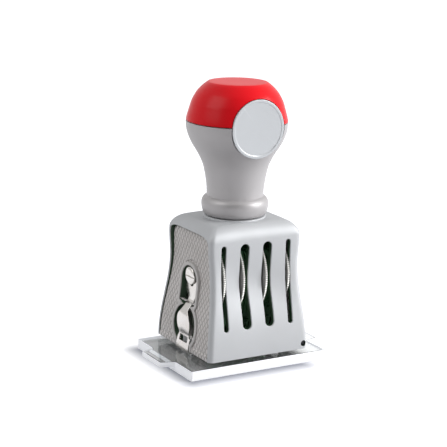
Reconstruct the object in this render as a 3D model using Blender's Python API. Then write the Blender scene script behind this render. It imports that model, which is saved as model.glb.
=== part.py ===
# Hand date stamp: a waisted plastic housing under a palm knob, four thumb wheels that
# carry rubber date bands, and a clear die plate held by two spring clips.
# Metres, +Z up. The origin is the centre of the die plate's underside, -Y is the front.

import math

import bmesh
import bpy
import numpy as np
from mathutils import Matrix, Vector

# Clearances, and how far a cutter runs past what it cuts
FIT_GAP = 0.0003
RUN_GAP = 0.0004
OVERRUN = 0.003

# Thumb wheels, their drums and the axle
AXLE_HEIGHT = 0.0335
AXLE_RADIUS = 0.0015
INNER_SLOT_X = 0.00485
INNER_DISC_SHIFT = 0.0007
OUTER_DISC_X = 0.01385
DISC_RADIUS = 0.0174
DISC_THICKNESS = 0.0012
DRUM_INSET = 0.0064
TOOTH_COUNT = 40
TOOTH_DEPTH = 0.0003

# Rubber date bands and the bridge that they run round
BAND_THICKNESS = 0.001
TYPE_RISE = 0.0008
TYPE_HEIGHT = 0.004
TYPE_EDGE = 0.0004
TYPE_COUNT = 14
BAND_SIDE_GAP = 0.0002
NOSE_RADIUS = 0.0021
BRIDGE_HEIGHT = 0.0085
FLOOR_GAP = 0.0003

# Metal strap that carries the wheels
STRAP_THICKNESS = 0.0007
STRAP_HALF_DEPTH = 0.007
STRAP_BEND = 0.0012
WEB_GAP = 0.0006
STRAP_TONGUE_HALF_DEPTH = 0.0034
STRAP_TONGUE_LENGTH = 0.005
STRAP_TONGUE_TOP = 0.0072

# Die plate
PLATE_THICKNESS = 0.004
PLATE_SIDE_MARGIN = 0.0077
PLATE_FRONT_MARGIN = 0.0007
PLATE_EDGE = 0.00035
TAB_REACH = 0.0054
TAB_ROOT_HALF = 0.009
TAB_TIP_HALF = 0.0074
TAB_THICKNESS = 0.002
WINDOW_GAP = 0.0006

# Housing shell
HOUSING_LIFT = 0.0016
WAIST_COVER = 0.0032
FOOT_FLARE = 0.00245
SHOULDER_FLARE = 0.00065
DISC_COVER = 0.0008
FOOT_SPREAD = 0.0042
SPREAD_DROP = 0.004
WAIST_RISE = 0.0035
SHOULDER_DROP = 0.0046
ROOF_WALL = 0.0024
ROOF_CROWN_WIDE = 0.0013
ROOF_CROWN_DEEP = 0.0009
ROOF_POWER = 4.0
CROWN_POWER = 3.0
CEILING_POWER = 12.0
FACE_DISH = 0.0016
DISH_REACH = 0.009
DISH_DROP = 0.002
CORNER_RADIUS = 0.002
SHELL_WALL = 0.002
BOSS_RADIUS = 0.0117
BOSS_RISE = 0.0004

# Slots for the wheels
SLOT_DROP = 0.0173
SLOT_RISE = 0.0144
WIDE_SLOT = 0.00365
NARROW_SLOT = 0.0019

# Side plates and their keyhole
SIDE_ARCH_RISE = 0.0054
SIDE_ARCH_DROP = 0.0024
SIDE_ARCH_POWER = 5.0
RECESS_FOOT = 0.0004
RECESS_TOP = 0.0017
RIM_STRIP_HEIGHT = 0.0018
RIM_STRIP_RISE = 0.0003
KEY_HALF_WIDTH = 0.0058
KEY_ARCH_DROP = 0.0019
KEY_LEDGE_HEIGHT = 0.0232
KEY_NECK_HALF = 0.0027
KEY_NECK_BOTTOM = 0.0215
KEY_ROUND_RADIUS = 0.008
KEY_ROUND_HEIGHT = 0.0145
KEY_FOOT_HALF = 0.0051
BEZEL_WIDTH = 0.0014
BEZEL_NECK_HALF = 0.0062
BEZEL_FOOT_WIDTH = 0.0012
BEZEL_SUNK = 0.0001

# Spring clips of the die plate
CLIP_STRIP = 0.0005
CLIP_BEND = 0.00075
CLIP_PRESS_ROOM = 0.00185
CLIP_STANDOFF = 0.0003
CLIP_FLANGE_LENGTH = 0.0044
CLIP_HALF_WIDTH = 0.0046
CLIP_PRONG_WIDTH = 0.0008
CLIP_FORK_DEPTH = 0.0072
CLIP_HOLE_HALF_WIDTH = 0.0022
CLIP_HOLE_LOW = 0.0087
CLIP_HOLE_HIGH = 0.0105
# Each row: share of the clip's height, of its reach out from the tongue, of its width
CLIP_SHARES = (
    (0.035, 1.000, 1.00),
    (0.145, 0.800, 1.00),
    (0.175, 0.770, 0.88),
    (0.210, 0.775, 0.80),
    (0.255, 0.830, 0.92),
    (0.300, 0.870, 1.00),
    (0.350, 0.890, 1.02),
    (0.400, 0.880, 0.98),
    (0.440, 0.850, 0.84),
    (0.475, 0.800, 0.62),
    (0.505, 0.700, 0.48),
    (0.545, 0.420, 0.47),
    (0.585, 0.150, 0.47),
    (0.630, 0.020, 0.52),
    (0.700, 0.000, 0.84),
    (0.760, 0.000, 0.90),
    (1.000, 0.000, 0.90),
)
RIVET_RADIUS = 0.0008
RIVET_HEAD_RADIUS = 0.0014
RIVET_HEAD_HEIGHT = 0.0004
HEAD_CROWN_SHARE = 0.78
RIVET_DEPTH = 0.0022
RIVET_HALF_SPACING = 0.0026
RIVET_INSET = 0.0028

# Axle screws, bridge screws and the pin in the housing's corner
SCREW_HEAD_RADIUS = 0.0034
SCREW_HEAD_HEIGHT = 0.001
SCREW_HEAD_EDGE = 0.0004
SCREW_SHOULDER_RADIUS = 0.0012
SCREW_SHANK_RADIUS = 0.0007
SCREW_SHANK_LENGTH = 0.004
SCREW_SLOT_WIDTH = 0.0009
SCREW_SLOT_DEPTH = 0.0005
BRIDGE_SCREW_HEIGHT = 0.0095
BRIDGE_SCREW_HEAD_RADIUS = 0.0018
BRIDGE_SCREW_HEAD_HEIGHT = 0.0007
PIN_RADIUS = 0.0009
PIN_LENGTH = 0.006
PIN_EDGE_INSET = 0.0018
PIN_HEIGHT = 0.002
PIN_SUNK = 0.0008

# Handle: collar, grip and cap, with the badge's flat round facet
COLLAR_RADIUS = 0.0126
COLLAR_HEIGHT = 0.0071
COLLAR_SHARES = (
    (0.00, 0.860),
    (0.06, 0.920),
    (0.16, 0.955),
    (0.34, 0.985),
    (0.59, 1.000),
    (0.80, 0.978),
    (0.93, 0.925),
)
GRIP_RADIUS = 0.019
GRIP_HEIGHT = 0.0283
GRIP_SHARES = (
    (0.000, 0.560),
    (0.075, 0.565),
    (0.149, 0.574),
    (0.284, 0.605),
    (0.426, 0.658),
    (0.560, 0.753),
    (0.699, 0.879),
    (0.780, 0.937),
    (0.837, 0.968),
    (0.904, 0.992),
    (1.000, 1.000),
)
CAP_HEIGHT = 0.0145
CAP_SHARES = (
    (0.000, 1.000),
    (0.110, 0.985),
    (0.214, 0.963),
    (0.350, 0.932),
    (0.483, 0.900),
    (0.620, 0.850),
    (0.745, 0.789),
    (0.870, 0.700),
    (0.965, 0.612),
    (1.000, 0.575),
)
PLUG_RADIUS = 0.0125
PLUG_LENGTH = 0.005
LIP_INSET = 0.0013
LIP_HEIGHT = 0.0009
BADGE_RADIUS = 0.0109
BADGE_THICKNESS = 0.0006
BADGE_EDGE = 0.0002
BADGE_SETBACK = 0.0035
BADGE_DROP = 0.001
INSERT_RADIUS = 0.0035
INSERT_LENGTH = 0.014
BOLT_RADIUS = 0.0019
BOLT_HEAD_RADIUS = 0.0029
BOLT_HEAD_HEIGHT = 0.0021
BOLT_GRIP_LENGTH = 0.012
SOCKET_RADIUS = 0.0015
SOCKET_DEPTH = 0.0012
WASHER_RADIUS = 0.0031
WASHER_THICKNESS = 0.0005

# Facets
ROUND_SEGMENTS = 32
SMALL_SEGMENTS = 18
SCREW_SEGMENTS = 12

# Places that follow from the sizes above, from the plate up
housing_bottom = PLATE_THICKNESS + HOUSING_LIFT
web_bottom = AXLE_HEIGHT + DISC_RADIUS + WEB_GAP
web_top = web_bottom + STRAP_THICKNESS
ceiling = web_top + RUN_GAP
roof_top = ceiling + ROOF_WALL
boss_top = roof_top + BOSS_RISE
collar_bottom = boss_top + FIT_GAP
neck_height = collar_bottom + COLLAR_HEIGHT
split_height = neck_height + GRIP_HEIGHT
knob_top = split_height + CAP_HEIGHT
badge_offset = GRIP_RADIUS - BADGE_SETBACK
shoulder_height = ceiling - SHOULDER_DROP
waist_height = AXLE_HEIGHT + WAIST_RISE

# Across the stamp, from the wheels out
cheek_inner = OUTER_DISC_X + DISC_THICKNESS / 2 + FIT_GAP
cheek_outer = cheek_inner + STRAP_THICKNESS
panel_inner = cheek_outer + FIT_GAP
waist_half_width = panel_inner + WAIST_COVER
foot_half_width = waist_half_width + FOOT_FLARE
shoulder_half_width = waist_half_width + SHOULDER_FLARE
shoulder_half_depth = DISC_RADIUS - DISC_COVER
foot_half_depth = shoulder_half_depth + FOOT_SPREAD
plate_half_width = foot_half_width + PLATE_SIDE_MARGIN
plate_half_depth = foot_half_depth + PLATE_FRONT_MARGIN

# Bands, bridge and window
band_nose_radius = NOSE_RADIUS + FIT_GAP
drum_radius = DISC_RADIUS - DRUM_INSET
band_drum_radius = drum_radius + FIT_GAP
nose_height = FLOOR_GAP + TYPE_RISE + BAND_THICKNESS + band_nose_radius
window_half_depth = band_nose_radius + BAND_THICKNESS + TYPE_RISE + WINDOW_GAP
window_half_width = cheek_outer + RUN_GAP

# Clips and axle screws
tongue_inner = cheek_outer + CLIP_PRESS_ROOM
tongue_outer = tongue_inner + CLIP_STRIP
clip_foot_x = foot_half_width + CLIP_STANDOFF
arch_height = AXLE_HEIGHT - KEY_ARCH_DROP
tongue_arch = KEY_HALF_WIDTH - RUN_GAP
fork_half = SCREW_SHOULDER_RADIUS + RUN_GAP
clip_top = arch_height + math.sqrt(tongue_arch**2 - (fork_half + CLIP_PRONG_WIDTH) ** 2)
flange_height = PLATE_THICKNESS + FIT_GAP + CLIP_STRIP / 2
channel_outer = tongue_outer + FIT_GAP
slot_bottom = AXLE_HEIGHT - SLOT_DROP
slot_top = AXLE_HEIGHT + SLOT_RISE
pin_x = foot_half_width - PIN_EDGE_INSET
pin_height = housing_bottom + PIN_HEIGHT


def blend(share):
    """Half a cosine from one, at share zero, to zero, at share one."""
    return 0.5 * (1 + math.cos(math.pi * min(max(share, 0.0), 1.0)))


def half_width(height):
    """The shell's half width in X at a height: flared foot, waist, fuller shoulder."""
    if height < waist_height:
        share = (height - housing_bottom) / (waist_height - housing_bottom)
        return waist_half_width + FOOT_FLARE * blend(share)
    share = (height - waist_height) / (shoulder_height - waist_height)
    return shoulder_half_width - SHOULDER_FLARE * blend(share)


def half_depth(height):
    """The shell's half depth in Y at a height, spread at the foot."""
    share = (height - housing_bottom) / (shoulder_height - SPREAD_DROP - housing_bottom)
    return shoulder_half_depth + FOOT_SPREAD * blend(share)


def dish(height):
    """How far the front face's middle lies behind its edges, most near the wheels."""
    return FACE_DISH * math.exp(-((height - AXLE_HEIGHT + DISH_DROP) / DISH_REACH) ** 2)


def material(name, colour, roughness, metallic=0.0, transmission=0.0):
    """A Principled material with one colour."""
    made = bpy.data.materials.new(name)
    made.use_nodes = True
    shader = made.node_tree.nodes["Principled BSDF"]
    shader.inputs["Base Color"].default_value = (*colour, 1.0)
    shader.inputs["Roughness"].default_value = roughness
    shader.inputs["Metallic"].default_value = metallic
    shader.inputs["Transmission Weight"].default_value = transmission
    made.diffuse_color = (*colour, 1.0)
    return made


def add_object(name, points, faces, finish=None, origin=(0.0, 0.0, 0.0)):
    """A mesh object, with its faces turned outwards and its origin at a given place."""
    mesh = bpy.data.meshes.new(name)
    mesh.from_pydata([Vector(p) - Vector(origin) for p in points], [], faces)
    shape = bmesh.new()
    shape.from_mesh(mesh)
    bmesh.ops.recalc_face_normals(shape, faces=shape.faces)
    shape.to_mesh(mesh)
    shape.free()
    mesh.shade_smooth()
    mesh.set_sharp_from_angle(angle=math.radians(35))
    made = bpy.data.objects.new(name, mesh)
    made.location = origin
    bpy.context.collection.objects.link(made)
    if finish is None:
        made.hide_render = True
        made.display_type = "WIRE"
    else:
        mesh.materials.append(finish)
    return made


def boolean(target, other, operation="DIFFERENCE"):
    """Cut, join or trim the target by another object, kept as a modifier."""
    step = target.modifiers.new(other.name, "BOOLEAN")
    step.operation = operation
    step.solver = "EXACT"
    step.object = other
    return target


def bevel(target, width, segments=2, angle=50):
    """Round the target's sharp edges, kept as a modifier."""
    step = target.modifiers.new("edge", "BEVEL")
    step.width = width
    step.segments = segments
    step.limit_method = "ANGLE"
    step.angle_limit = math.radians(angle)
    return target


def loft(name, rings, finish=None, origin=(0.0, 0.0, 0.0)):
    """A closed skin over rings of equally many points, with a flat cap at each end."""
    count = len(rings[0])
    points = [point for ring in rings for point in ring]
    faces = [tuple(range(count))]
    faces.append(tuple(range(len(points) - count, len(points))))
    for row in range(len(rings) - 1):
        for column in range(count):
            following = (column + 1) % count
            low = row * count
            high = low + count
            faces.append((low + column, low + following, high + following, high + column))
    return add_object(name, points, faces, finish, origin)


def prism(name, outline, axis, start, end, finish=None, origin=(0.0, 0.0, 0.0)):
    """A flat outline carried along an axis. The outline is (y, z), (x, z) or (x, y)."""
    order = {"X": (2, 0, 1), "Y": (0, 2, 1), "Z": (0, 1, 2)}[axis]
    rings = []
    for place in (start, end):
        flat = [(u, v, place) for u, v in outline]
        rings.append([tuple(point[i] for i in order) for point in flat])
    return loft(name, rings, finish, origin)


def box(name, low, high, finish=None):
    """A box between two corners."""
    outline = ((low[0], low[1]), (high[0], low[1]), (high[0], high[1]), (low[0], high[1]))
    return prism(name, outline, "Z", low[2], high[2], finish)


def turned(name, profile, centre, axis="Z", segments=ROUND_SEGMENTS, finish=None):
    """A profile of (radius, place along the axis) turned about that axis.

    A profile whose ends have radius zero is closed by its poles. Any other
    profile is a closed loop, which leaves a bore."""
    solid = profile[0][0] == 0 and profile[-1][0] == 0
    points, faces, rows = [], [], []
    for radius, along in profile:
        start = len(points)
        if radius == 0:
            points.append((0.0, 0.0, along))
            rows.append([start] * segments)
            continue
        for step in range(segments):
            angle = 2 * math.pi * step / segments
            points.append((radius * math.cos(angle), radius * math.sin(angle), along))
        rows.append(list(range(start, start + segments)))
    pairs = list(zip(rows, rows[1:]))
    if not solid:
        pairs.append((rows[-1], rows[0]))
    for low, high in pairs:
        for step in range(segments):
            following = (step + 1) % segments
            corners = (low[step], low[following], high[following], high[step])
            faces.append(tuple(dict.fromkeys(corners)))
    turn = {"X": Matrix.Rotation(math.pi / 2, 3, "Y"), "Y": Matrix.Rotation(-math.pi / 2, 3, "X")}
    if axis in turn:
        points = [turn[axis] @ Vector(point) for point in points]
    points = [Vector(point) + Vector(centre) for point in points]
    return add_object(name, points, faces, finish, centre)


def rod(name, radius, start, end, centre, axis="Z", segments=SMALL_SEGMENTS, finish=None):
    """A plain cylinder between two places along an axis."""
    profile = ((0.0, start), (radius, start), (radius, end), (0.0, end))
    return turned(name, profile, centre, axis, segments, finish)


def arc(centre, radius, start, end, count):
    """Points on a circle between two angles in degrees."""
    angles = np.radians(np.linspace(start, end, count))
    return [(centre[0] + radius * math.cos(a), centre[1] + radius * math.sin(a)) for a in angles]


def fair(knots, rows):
    """A smooth curve through the knots, read at evenly spaced steps (Catmull-Rom)."""
    path = np.array(knots)
    padded = np.vstack([2 * path[0] - path[1], path, 2 * path[-1] - path[-2]])
    places = np.linspace(0, len(path) - 1, rows)
    index = np.minimum(places.astype(int), len(path) - 2)
    t = (places - index)[:, None]
    a, b, c, d = (padded[index + step] for step in range(4))
    curve = b + 0.5 * t * (c - a + t * (2 * a - 5 * b + 4 * c - d + t * (3 * (b - c) + d - a)))
    return [tuple(point) for point in curve]


def section(half_x, half_y, hollow, corner):
    """One horizontal outline of the housing: rounded corners, front and rear dished."""
    flat = half_x - corner
    inner = np.linspace(-1, 1, 8)[1:-1]
    front = [(share * flat, -half_y + hollow * (1 - share**2)) for share in inner]
    outline = []
    for turn, corner_x, corner_y in ((270, 1, -1), (0, 1, 1), (90, -1, 1), (180, -1, -1)):
        centre = (corner_x * flat, corner_y * (half_y - corner))
        outline += arc(centre, corner, turn, turn + 90, 4)
        if turn == 0:
            outline += [(-x, -y) for x, y in front]
        if turn == 180:
            outline += front
    return outline


def housing_body(name, inset, top, crown_wide, crown_deep, power, rows, bottom, finish=None):
    """The housing's outer or inner form: waisted walls, then a roof of rounded edges.

    The roof's edge is a superellipse: inwards share s and height share h are
    the cosine and sine of one angle, raised to two over the power."""
    rings = []
    corner = max(CORNER_RADIUS - inset / 2, CORNER_RADIUS / 2)
    for height in np.linspace(bottom, shoulder_height, rows):
        wide = half_width(height) - inset
        deep = half_depth(height) - inset
        outline = section(wide, deep, dish(height), corner)
        rings.append([(x, y, height) for x, y in outline])
    wide = half_width(shoulder_height) - inset
    deep = half_depth(shoulder_height) - inset
    spring = section(wide, deep, dish(shoulder_height), corner)
    for angle in np.radians((14, 28, 42, 56, 68, 78, 86)):
        inwards = math.cos(angle) ** (2 / power)
        upwards = math.sin(angle) ** (2 / power)
        ring = []
        for x, y in spring:
            fall = crown_wide * abs(inwards * x / wide) ** CROWN_POWER
            fall += crown_deep * abs(inwards * y / deep) ** CROWN_POWER
            rise = upwards * (top - fall - shoulder_height)
            ring.append((inwards * x, inwards * y, shoulder_height + rise))
        rings.append(ring)
    return loft(name, rings, finish)


def side_arch(clearance, rows):
    """The side opening's outline as rows of (height, half depth), from the foot up."""
    top = shoulder_height - SIDE_ARCH_DROP + SIDE_ARCH_RISE
    spring = top - SIDE_ARCH_RISE
    top -= clearance
    outline = []
    for height in np.linspace(housing_bottom, spring, rows):
        outline.append((height, half_depth(height) - SHELL_WALL - clearance))
    reach = half_depth(spring) - SHELL_WALL - clearance
    for angle in np.radians((18, 34, 48, 60, 71, 81)):
        inwards = math.cos(angle) ** (2 / SIDE_ARCH_POWER)
        upwards = math.sin(angle) ** (2 / SIDE_ARCH_POWER)
        outline.append((spring + upwards * (top - spring), reach * inwards))
    return outline


def stadium(centre_x, width, low, high):
    """A slot's outline in (x, z), with round ends."""
    radius = width / 2
    upper = arc((centre_x, high - radius), radius, 0, 180, 9)
    lower = arc((centre_x, low + radius), radius, 180, 360, 9)
    return upper + lower


def keyhole(upper, neck, neck_bottom, round_radius, foot):
    """The keyhole's outline in (y, z): arched top, neck, round middle, open foot."""
    arch_centre = (0.0, arch_height)
    right = arc(arch_centre, upper, 90, 0, 9)
    right.append((upper, KEY_LEDGE_HEIGHT))
    right.append((neck, neck_bottom))
    top_angle = math.degrees(math.acos(neck / round_radius))
    foot_angle = -math.degrees(math.acos(foot / round_radius))
    right += arc((0.0, KEY_ROUND_HEIGHT), round_radius, top_angle, foot_angle, 15)
    right.append((foot, housing_bottom - OVERRUN))
    left = [(-y, z) for y, z in reversed(right[1:])]
    return right + left


def make_materials():
    """Every finish of the stamp."""
    return {
        "shell": material("satin_grey_plastic", (0.60, 0.60, 0.63), 0.38),
        "side": material("textured_grey_plastic", (0.36, 0.35, 0.34), 0.55),
        "red": material("gloss_red_plastic", (0.60, 0.012, 0.018), 0.22),
        "badge": material("silver_badge", (0.66, 0.67, 0.69), 0.35, 0.2),
        "clear": material("clear_acrylic", (0.92, 0.94, 0.95), 0.03, 0.0, 1.0),
        "nickel": material("nickel_plate", (0.72, 0.70, 0.66), 0.22, 1.0),
        "steel": material("wheel_steel", (0.62, 0.61, 0.58), 0.34, 1.0),
        "dark": material("dark_steel", (0.03, 0.03, 0.03), 0.4, 0.8),
        "brass": material("brass", (0.66, 0.47, 0.18), 0.3, 1.0),
        "rubber": material("green_black_rubber", (0.012, 0.026, 0.014), 0.7),
    }


def make_housing(finish):
    """The U-shaped shell: front wall, roof and rear wall, open below and at both sides."""
    shell = housing_body("housing_shell", 0.0, roof_top, ROOF_CROWN_WIDE, ROOF_CROWN_DEEP,
                         ROOF_POWER, 13, housing_bottom, finish)
    boss = rod("boss_form", BOSS_RADIUS, ceiling, boss_top, (0.0, 0.0, 0.0), "Z", ROUND_SEGMENTS)
    boolean(shell, boss, "UNION")
    cavity = housing_body("cavity_cutter", SHELL_WALL, ceiling, 0.0, 0.0,
                          CEILING_POWER, 8, housing_bottom - OVERRUN)
    boolean(shell, cavity)
    arch = [(depth, height) for height, depth in side_arch(0.0, 11)]
    arch[0] = (arch[0][0], housing_bottom - OVERRUN)
    outline = arch + [(-depth, height) for depth, height in reversed(arch)]
    reach = foot_half_width + OVERRUN
    boolean(shell, prism("side_cutter", outline, "X", -reach, reach))
    slots = ((-OUTER_DISC_X, NARROW_SLOT), (-INNER_SLOT_X, WIDE_SLOT),
             (INNER_SLOT_X, WIDE_SLOT), (OUTER_DISC_X, NARROW_SLOT))
    for number, (slot_x, width) in enumerate(slots):
        slot = stadium(slot_x, width, slot_bottom, slot_top)
        reach = foot_half_depth + OVERRUN
        boolean(shell, prism(f"slot_cutter_{number}", slot, "Y", -reach, reach))
    bolt_hole = BOLT_RADIUS + FIT_GAP
    boolean(shell, rod("bolt_cutter", bolt_hole, ceiling - OVERRUN, boss_top + OVERRUN, (0.0, 0.0, 0.0)))
    return shell


def make_side_plate(name, side, finish):
    """A side plate set back in the shell, with a raised bezel round its keyhole."""
    rings = []
    for height, depth in side_arch(FIT_GAP, 14):
        share = (height - housing_bottom) / (shoulder_height - housing_bottom)
        recess = RECESS_FOOT + (RECESS_TOP - RECESS_FOOT) * share**2
        outer = half_width(height) - recess
        rings.append((height, depth, outer))
    low_height, low_depth, low_outer = rings[0]
    strip_top = housing_bottom + RIM_STRIP_HEIGHT
    strip_depth = half_depth(strip_top) - SHELL_WALL - FIT_GAP
    strip_outer = half_width(strip_top) - RECESS_FOOT
    above = [ring for ring in rings if ring[0] > strip_top + RIM_STRIP_RISE]
    rows = [(low_height, low_depth, low_outer + RIM_STRIP_RISE)]
    rows.append((strip_top, strip_depth, strip_outer + RIM_STRIP_RISE))
    rows.append((strip_top + RIM_STRIP_RISE, strip_depth, strip_outer))
    rows += above
    skin = []
    for height, depth, outer in rows:
        corners = ((panel_inner, -depth), (outer, -depth), (outer, depth), (panel_inner, depth))
        skin.append([(side * x, y, height) for x, y in corners])
    plate = loft(name, skin, finish)

    bezel_outline = keyhole(KEY_HALF_WIDTH + BEZEL_WIDTH, BEZEL_NECK_HALF, KEY_NECK_BOTTOM,
                            KEY_ROUND_RADIUS + BEZEL_WIDTH, KEY_FOOT_HALF + BEZEL_FOOT_WIDTH)
    bezel_outline = [(y, max(z, housing_bottom)) for y, z in bezel_outline]
    reach = foot_half_width + OVERRUN
    bezel = prism(f"{name}_bezel_form", bezel_outline, "X", side * panel_inner, side * reach)
    envelope = []
    widest = KEY_ROUND_RADIUS + BEZEL_WIDTH + OVERRUN
    for height in np.linspace(housing_bottom - OVERRUN, shoulder_height, 14):
        outer = half_width(height) - BEZEL_SUNK
        corners = ((panel_inner - OVERRUN, -widest), (outer, -widest), (outer, widest),
                   (panel_inner - OVERRUN, widest))
        envelope.append([(side * x, y, height) for x, y in corners])
    boolean(bezel, loft(f"{name}_bezel_limit", envelope), "INTERSECT")
    boolean(plate, bezel, "UNION")

    hole = keyhole(KEY_HALF_WIDTH, KEY_NECK_HALF, KEY_LEDGE_HEIGHT, KEY_ROUND_RADIUS,
                   KEY_FOOT_HALF)
    inside = panel_inner - OVERRUN
    boolean(plate, prism(f"{name}_keyhole_cutter", hole, "X", side * inside, side * reach))
    channel = stadium(0.0, 2 * KEY_HALF_WIDTH, housing_bottom - OVERRUN - KEY_HALF_WIDTH,
                      arch_height + KEY_HALF_WIDTH)
    cutter = prism(f"{name}_channel_cutter", channel, "X", side * inside, side * channel_outer)
    boolean(plate, cutter)
    return plate


def make_handle(finishes):
    """The grey grip with its collar, the red cap plugged into it, and the bare badge."""
    collar = [(radius * COLLAR_RADIUS, collar_bottom + share * COLLAR_HEIGHT)
              for share, radius in COLLAR_SHARES]
    grip = [(radius * GRIP_RADIUS, neck_height + share * GRIP_HEIGHT)
            for share, radius in GRIP_SHARES]
    seat = split_height - FIT_GAP / 2
    grip[-1] = (GRIP_RADIUS, seat)
    socket = PLUG_RADIUS + FIT_GAP
    socket_floor = split_height - PLUG_LENGTH - FIT_GAP
    bore = INSERT_RADIUS + FIT_GAP
    bore_top = collar_bottom + INSERT_LENGTH + FIT_GAP
    profile = [(0.0, bore_top), (bore, bore_top), (bore, collar_bottom)]
    profile += fair(collar, 7) + fair(grip, 13)
    lip = GRIP_RADIUS - LIP_INSET
    profile += [(lip, seat), (lip, seat + LIP_HEIGHT), (socket, seat + LIP_HEIGHT)]
    profile += [(socket, socket_floor), (0.0, socket_floor)]
    body = turned("handle_knob", profile, (0.0, 0.0, 0.0), finish=finishes["shell"])

    cap_bottom = split_height + FIT_GAP / 2
    crown = [(radius * GRIP_RADIUS, split_height + share * CAP_HEIGHT) for share, radius in CAP_SHARES]
    crown[0] = (GRIP_RADIUS, cap_bottom)
    plug_bottom = split_height - PLUG_LENGTH
    lip_top = cap_bottom + LIP_HEIGHT
    profile = [(0.0, plug_bottom), (PLUG_RADIUS, plug_bottom), (PLUG_RADIUS, lip_top)]
    profile += [(lip + FIT_GAP, lip_top), (lip + FIT_GAP, cap_bottom)]
    profile += fair(crown, 10) + [(0.0, knob_top)]
    cap = turned("knob_cap", profile, (0.0, 0.0, 0.0), finish=finishes["red"])

    centre = (0.0, 0.0, split_height - BADGE_DROP)
    floor = -(badge_offset - BADGE_THICKNESS - FIT_GAP)
    pocket = rod("badge_cutter", BADGE_RADIUS + FIT_GAP, floor, -GRIP_RADIUS - OVERRUN,
                 centre, "Y", ROUND_SEGMENTS)
    boolean(body, pocket)
    boolean(cap, pocket)
    badge = rod("label_disc", BADGE_RADIUS, -badge_offset, -(badge_offset - BADGE_THICKNESS),
                centre, "Y", ROUND_SEGMENTS, finishes["badge"])
    bevel(badge, BADGE_EDGE, 1)


def make_handle_fastening(finishes):
    """Bush in the grip, and the bolt and washer that clamp housing and strap to it."""
    inner = BOLT_RADIUS + FIT_GAP
    low = collar_bottom
    high = collar_bottom + INSERT_LENGTH
    profile = ((inner, low), (INSERT_RADIUS, low), (INSERT_RADIUS, high), (inner, high))
    turned("handle_insert", profile, (0.0, 0.0, 0.0), segments=SMALL_SEGMENTS, finish=finishes["brass"])
    washer_top = web_bottom - FIT_GAP
    washer_bottom = washer_top - WASHER_THICKNESS
    profile = ((inner, washer_bottom), (WASHER_RADIUS, washer_bottom),
               (WASHER_RADIUS, washer_top), (inner, washer_top))
    turned("lock_washer", profile, (0.0, 0.0, 0.0), segments=SMALL_SEGMENTS, finish=finishes["nickel"])
    head_top = washer_bottom - FIT_GAP
    head_bottom = head_top - BOLT_HEAD_HEIGHT
    bolt_end = collar_bottom + BOLT_GRIP_LENGTH
    socket_top = head_bottom + SOCKET_DEPTH
    profile = ((0.0, socket_top), (SOCKET_RADIUS, socket_top), (SOCKET_RADIUS, head_bottom),
               (BOLT_HEAD_RADIUS, head_bottom), (BOLT_HEAD_RADIUS, head_top),
               (BOLT_RADIUS, head_top), (BOLT_RADIUS, bolt_end), (0.0, bolt_end))
    turned("handle_bolt", profile, (0.0, 0.0, 0.0), segments=SMALL_SEGMENTS, finish=finishes["dark"])


def make_strap(finish):
    """The bent metal strap: web under the roof, a cheek outside each outer wheel."""
    outer_bend = STRAP_BEND + STRAP_THICKNESS
    centre = (cheek_inner - STRAP_BEND, web_bottom - STRAP_BEND)
    foot = STRAP_TONGUE_TOP - STRAP_TONGUE_LENGTH
    outside = [(cheek_outer, foot)] + arc(centre, outer_bend, 0, 90, 6)
    inside = [(cheek_inner, foot)] + arc(centre, STRAP_BEND, 0, 90, 6)
    outline = outside + [(-x, z) for x, z in reversed(outside)]
    outline += [(-x, z) for x, z in inside] + list(reversed(inside))
    strap = prism("band_frame", outline, "Y", -STRAP_HALF_DEPTH, STRAP_HALF_DEPTH, finish)
    reach = cheek_outer + OVERRUN
    for name, sign in (("front", -1), ("rear", 1)):
        edges = sorted((sign * STRAP_TONGUE_HALF_DEPTH, sign * (STRAP_HALF_DEPTH + OVERRUN)))
        cutter = box(f"strap_{name}_cutter", (-reach, edges[0], foot - OVERRUN),
                     (reach, edges[1], STRAP_TONGUE_TOP))
        boolean(strap, cutter)
    hole = AXLE_RADIUS + FIT_GAP
    boolean(strap, rod("strap_axle_cutter", hole, -reach, reach, (0.0, 0.0, AXLE_HEIGHT), "X"))
    hole = SCREW_SHANK_RADIUS + FIT_GAP
    place = (0.0, 0.0, BRIDGE_SCREW_HEIGHT)
    boolean(strap, rod("strap_screw_cutter", hole, -reach, reach, place, "X", SCREW_SEGMENTS))
    hole = BOLT_RADIUS + FIT_GAP
    boolean(strap, rod("strap_bolt_cutter", hole, web_bottom - OVERRUN, web_top + OVERRUN, (0.0, 0.0, 0.0)))


def make_bridge(finishes):
    """The nose that the bands run round, hung between the cheeks on two screws."""
    half_length = cheek_inner - FIT_GAP
    top = nose_height + BRIDGE_HEIGHT
    outline = arc((0.0, nose_height), NOSE_RADIUS, 180, 360, 11)
    outline += [(NOSE_RADIUS, top), (-NOSE_RADIUS, top)]
    bridge = prism("band_bridge", outline, "X", -half_length, half_length, finishes["nickel"])
    for name, side in (("left", -1), ("right", 1)):
        place = (0.0, 0.0, BRIDGE_SCREW_HEIGHT)
        shank_end = half_length - SCREW_SHANK_LENGTH
        hole = SCREW_SHANK_RADIUS + FIT_GAP
        cutter = rod(f"bridge_{name}_cutter", hole, side * (shank_end - FIT_GAP),
                     side * (half_length + OVERRUN), place, "X", SCREW_SEGMENTS)
        boolean(bridge, cutter)
        under_head = cheek_outer + FIT_GAP
        head_end = under_head + BRIDGE_SCREW_HEAD_HEIGHT
        profile = ((0.0, side * shank_end), (SCREW_SHANK_RADIUS, side * shank_end),
                   (SCREW_SHANK_RADIUS, side * under_head), (BRIDGE_SCREW_HEAD_RADIUS, side * under_head),
                   (BRIDGE_SCREW_HEAD_RADIUS * HEAD_CROWN_SHARE, side * head_end), (0.0, side * head_end))
        turned(f"bridge_screw_{name}", profile, place, "X", SCREW_SEGMENTS, finishes["nickel"])


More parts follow.
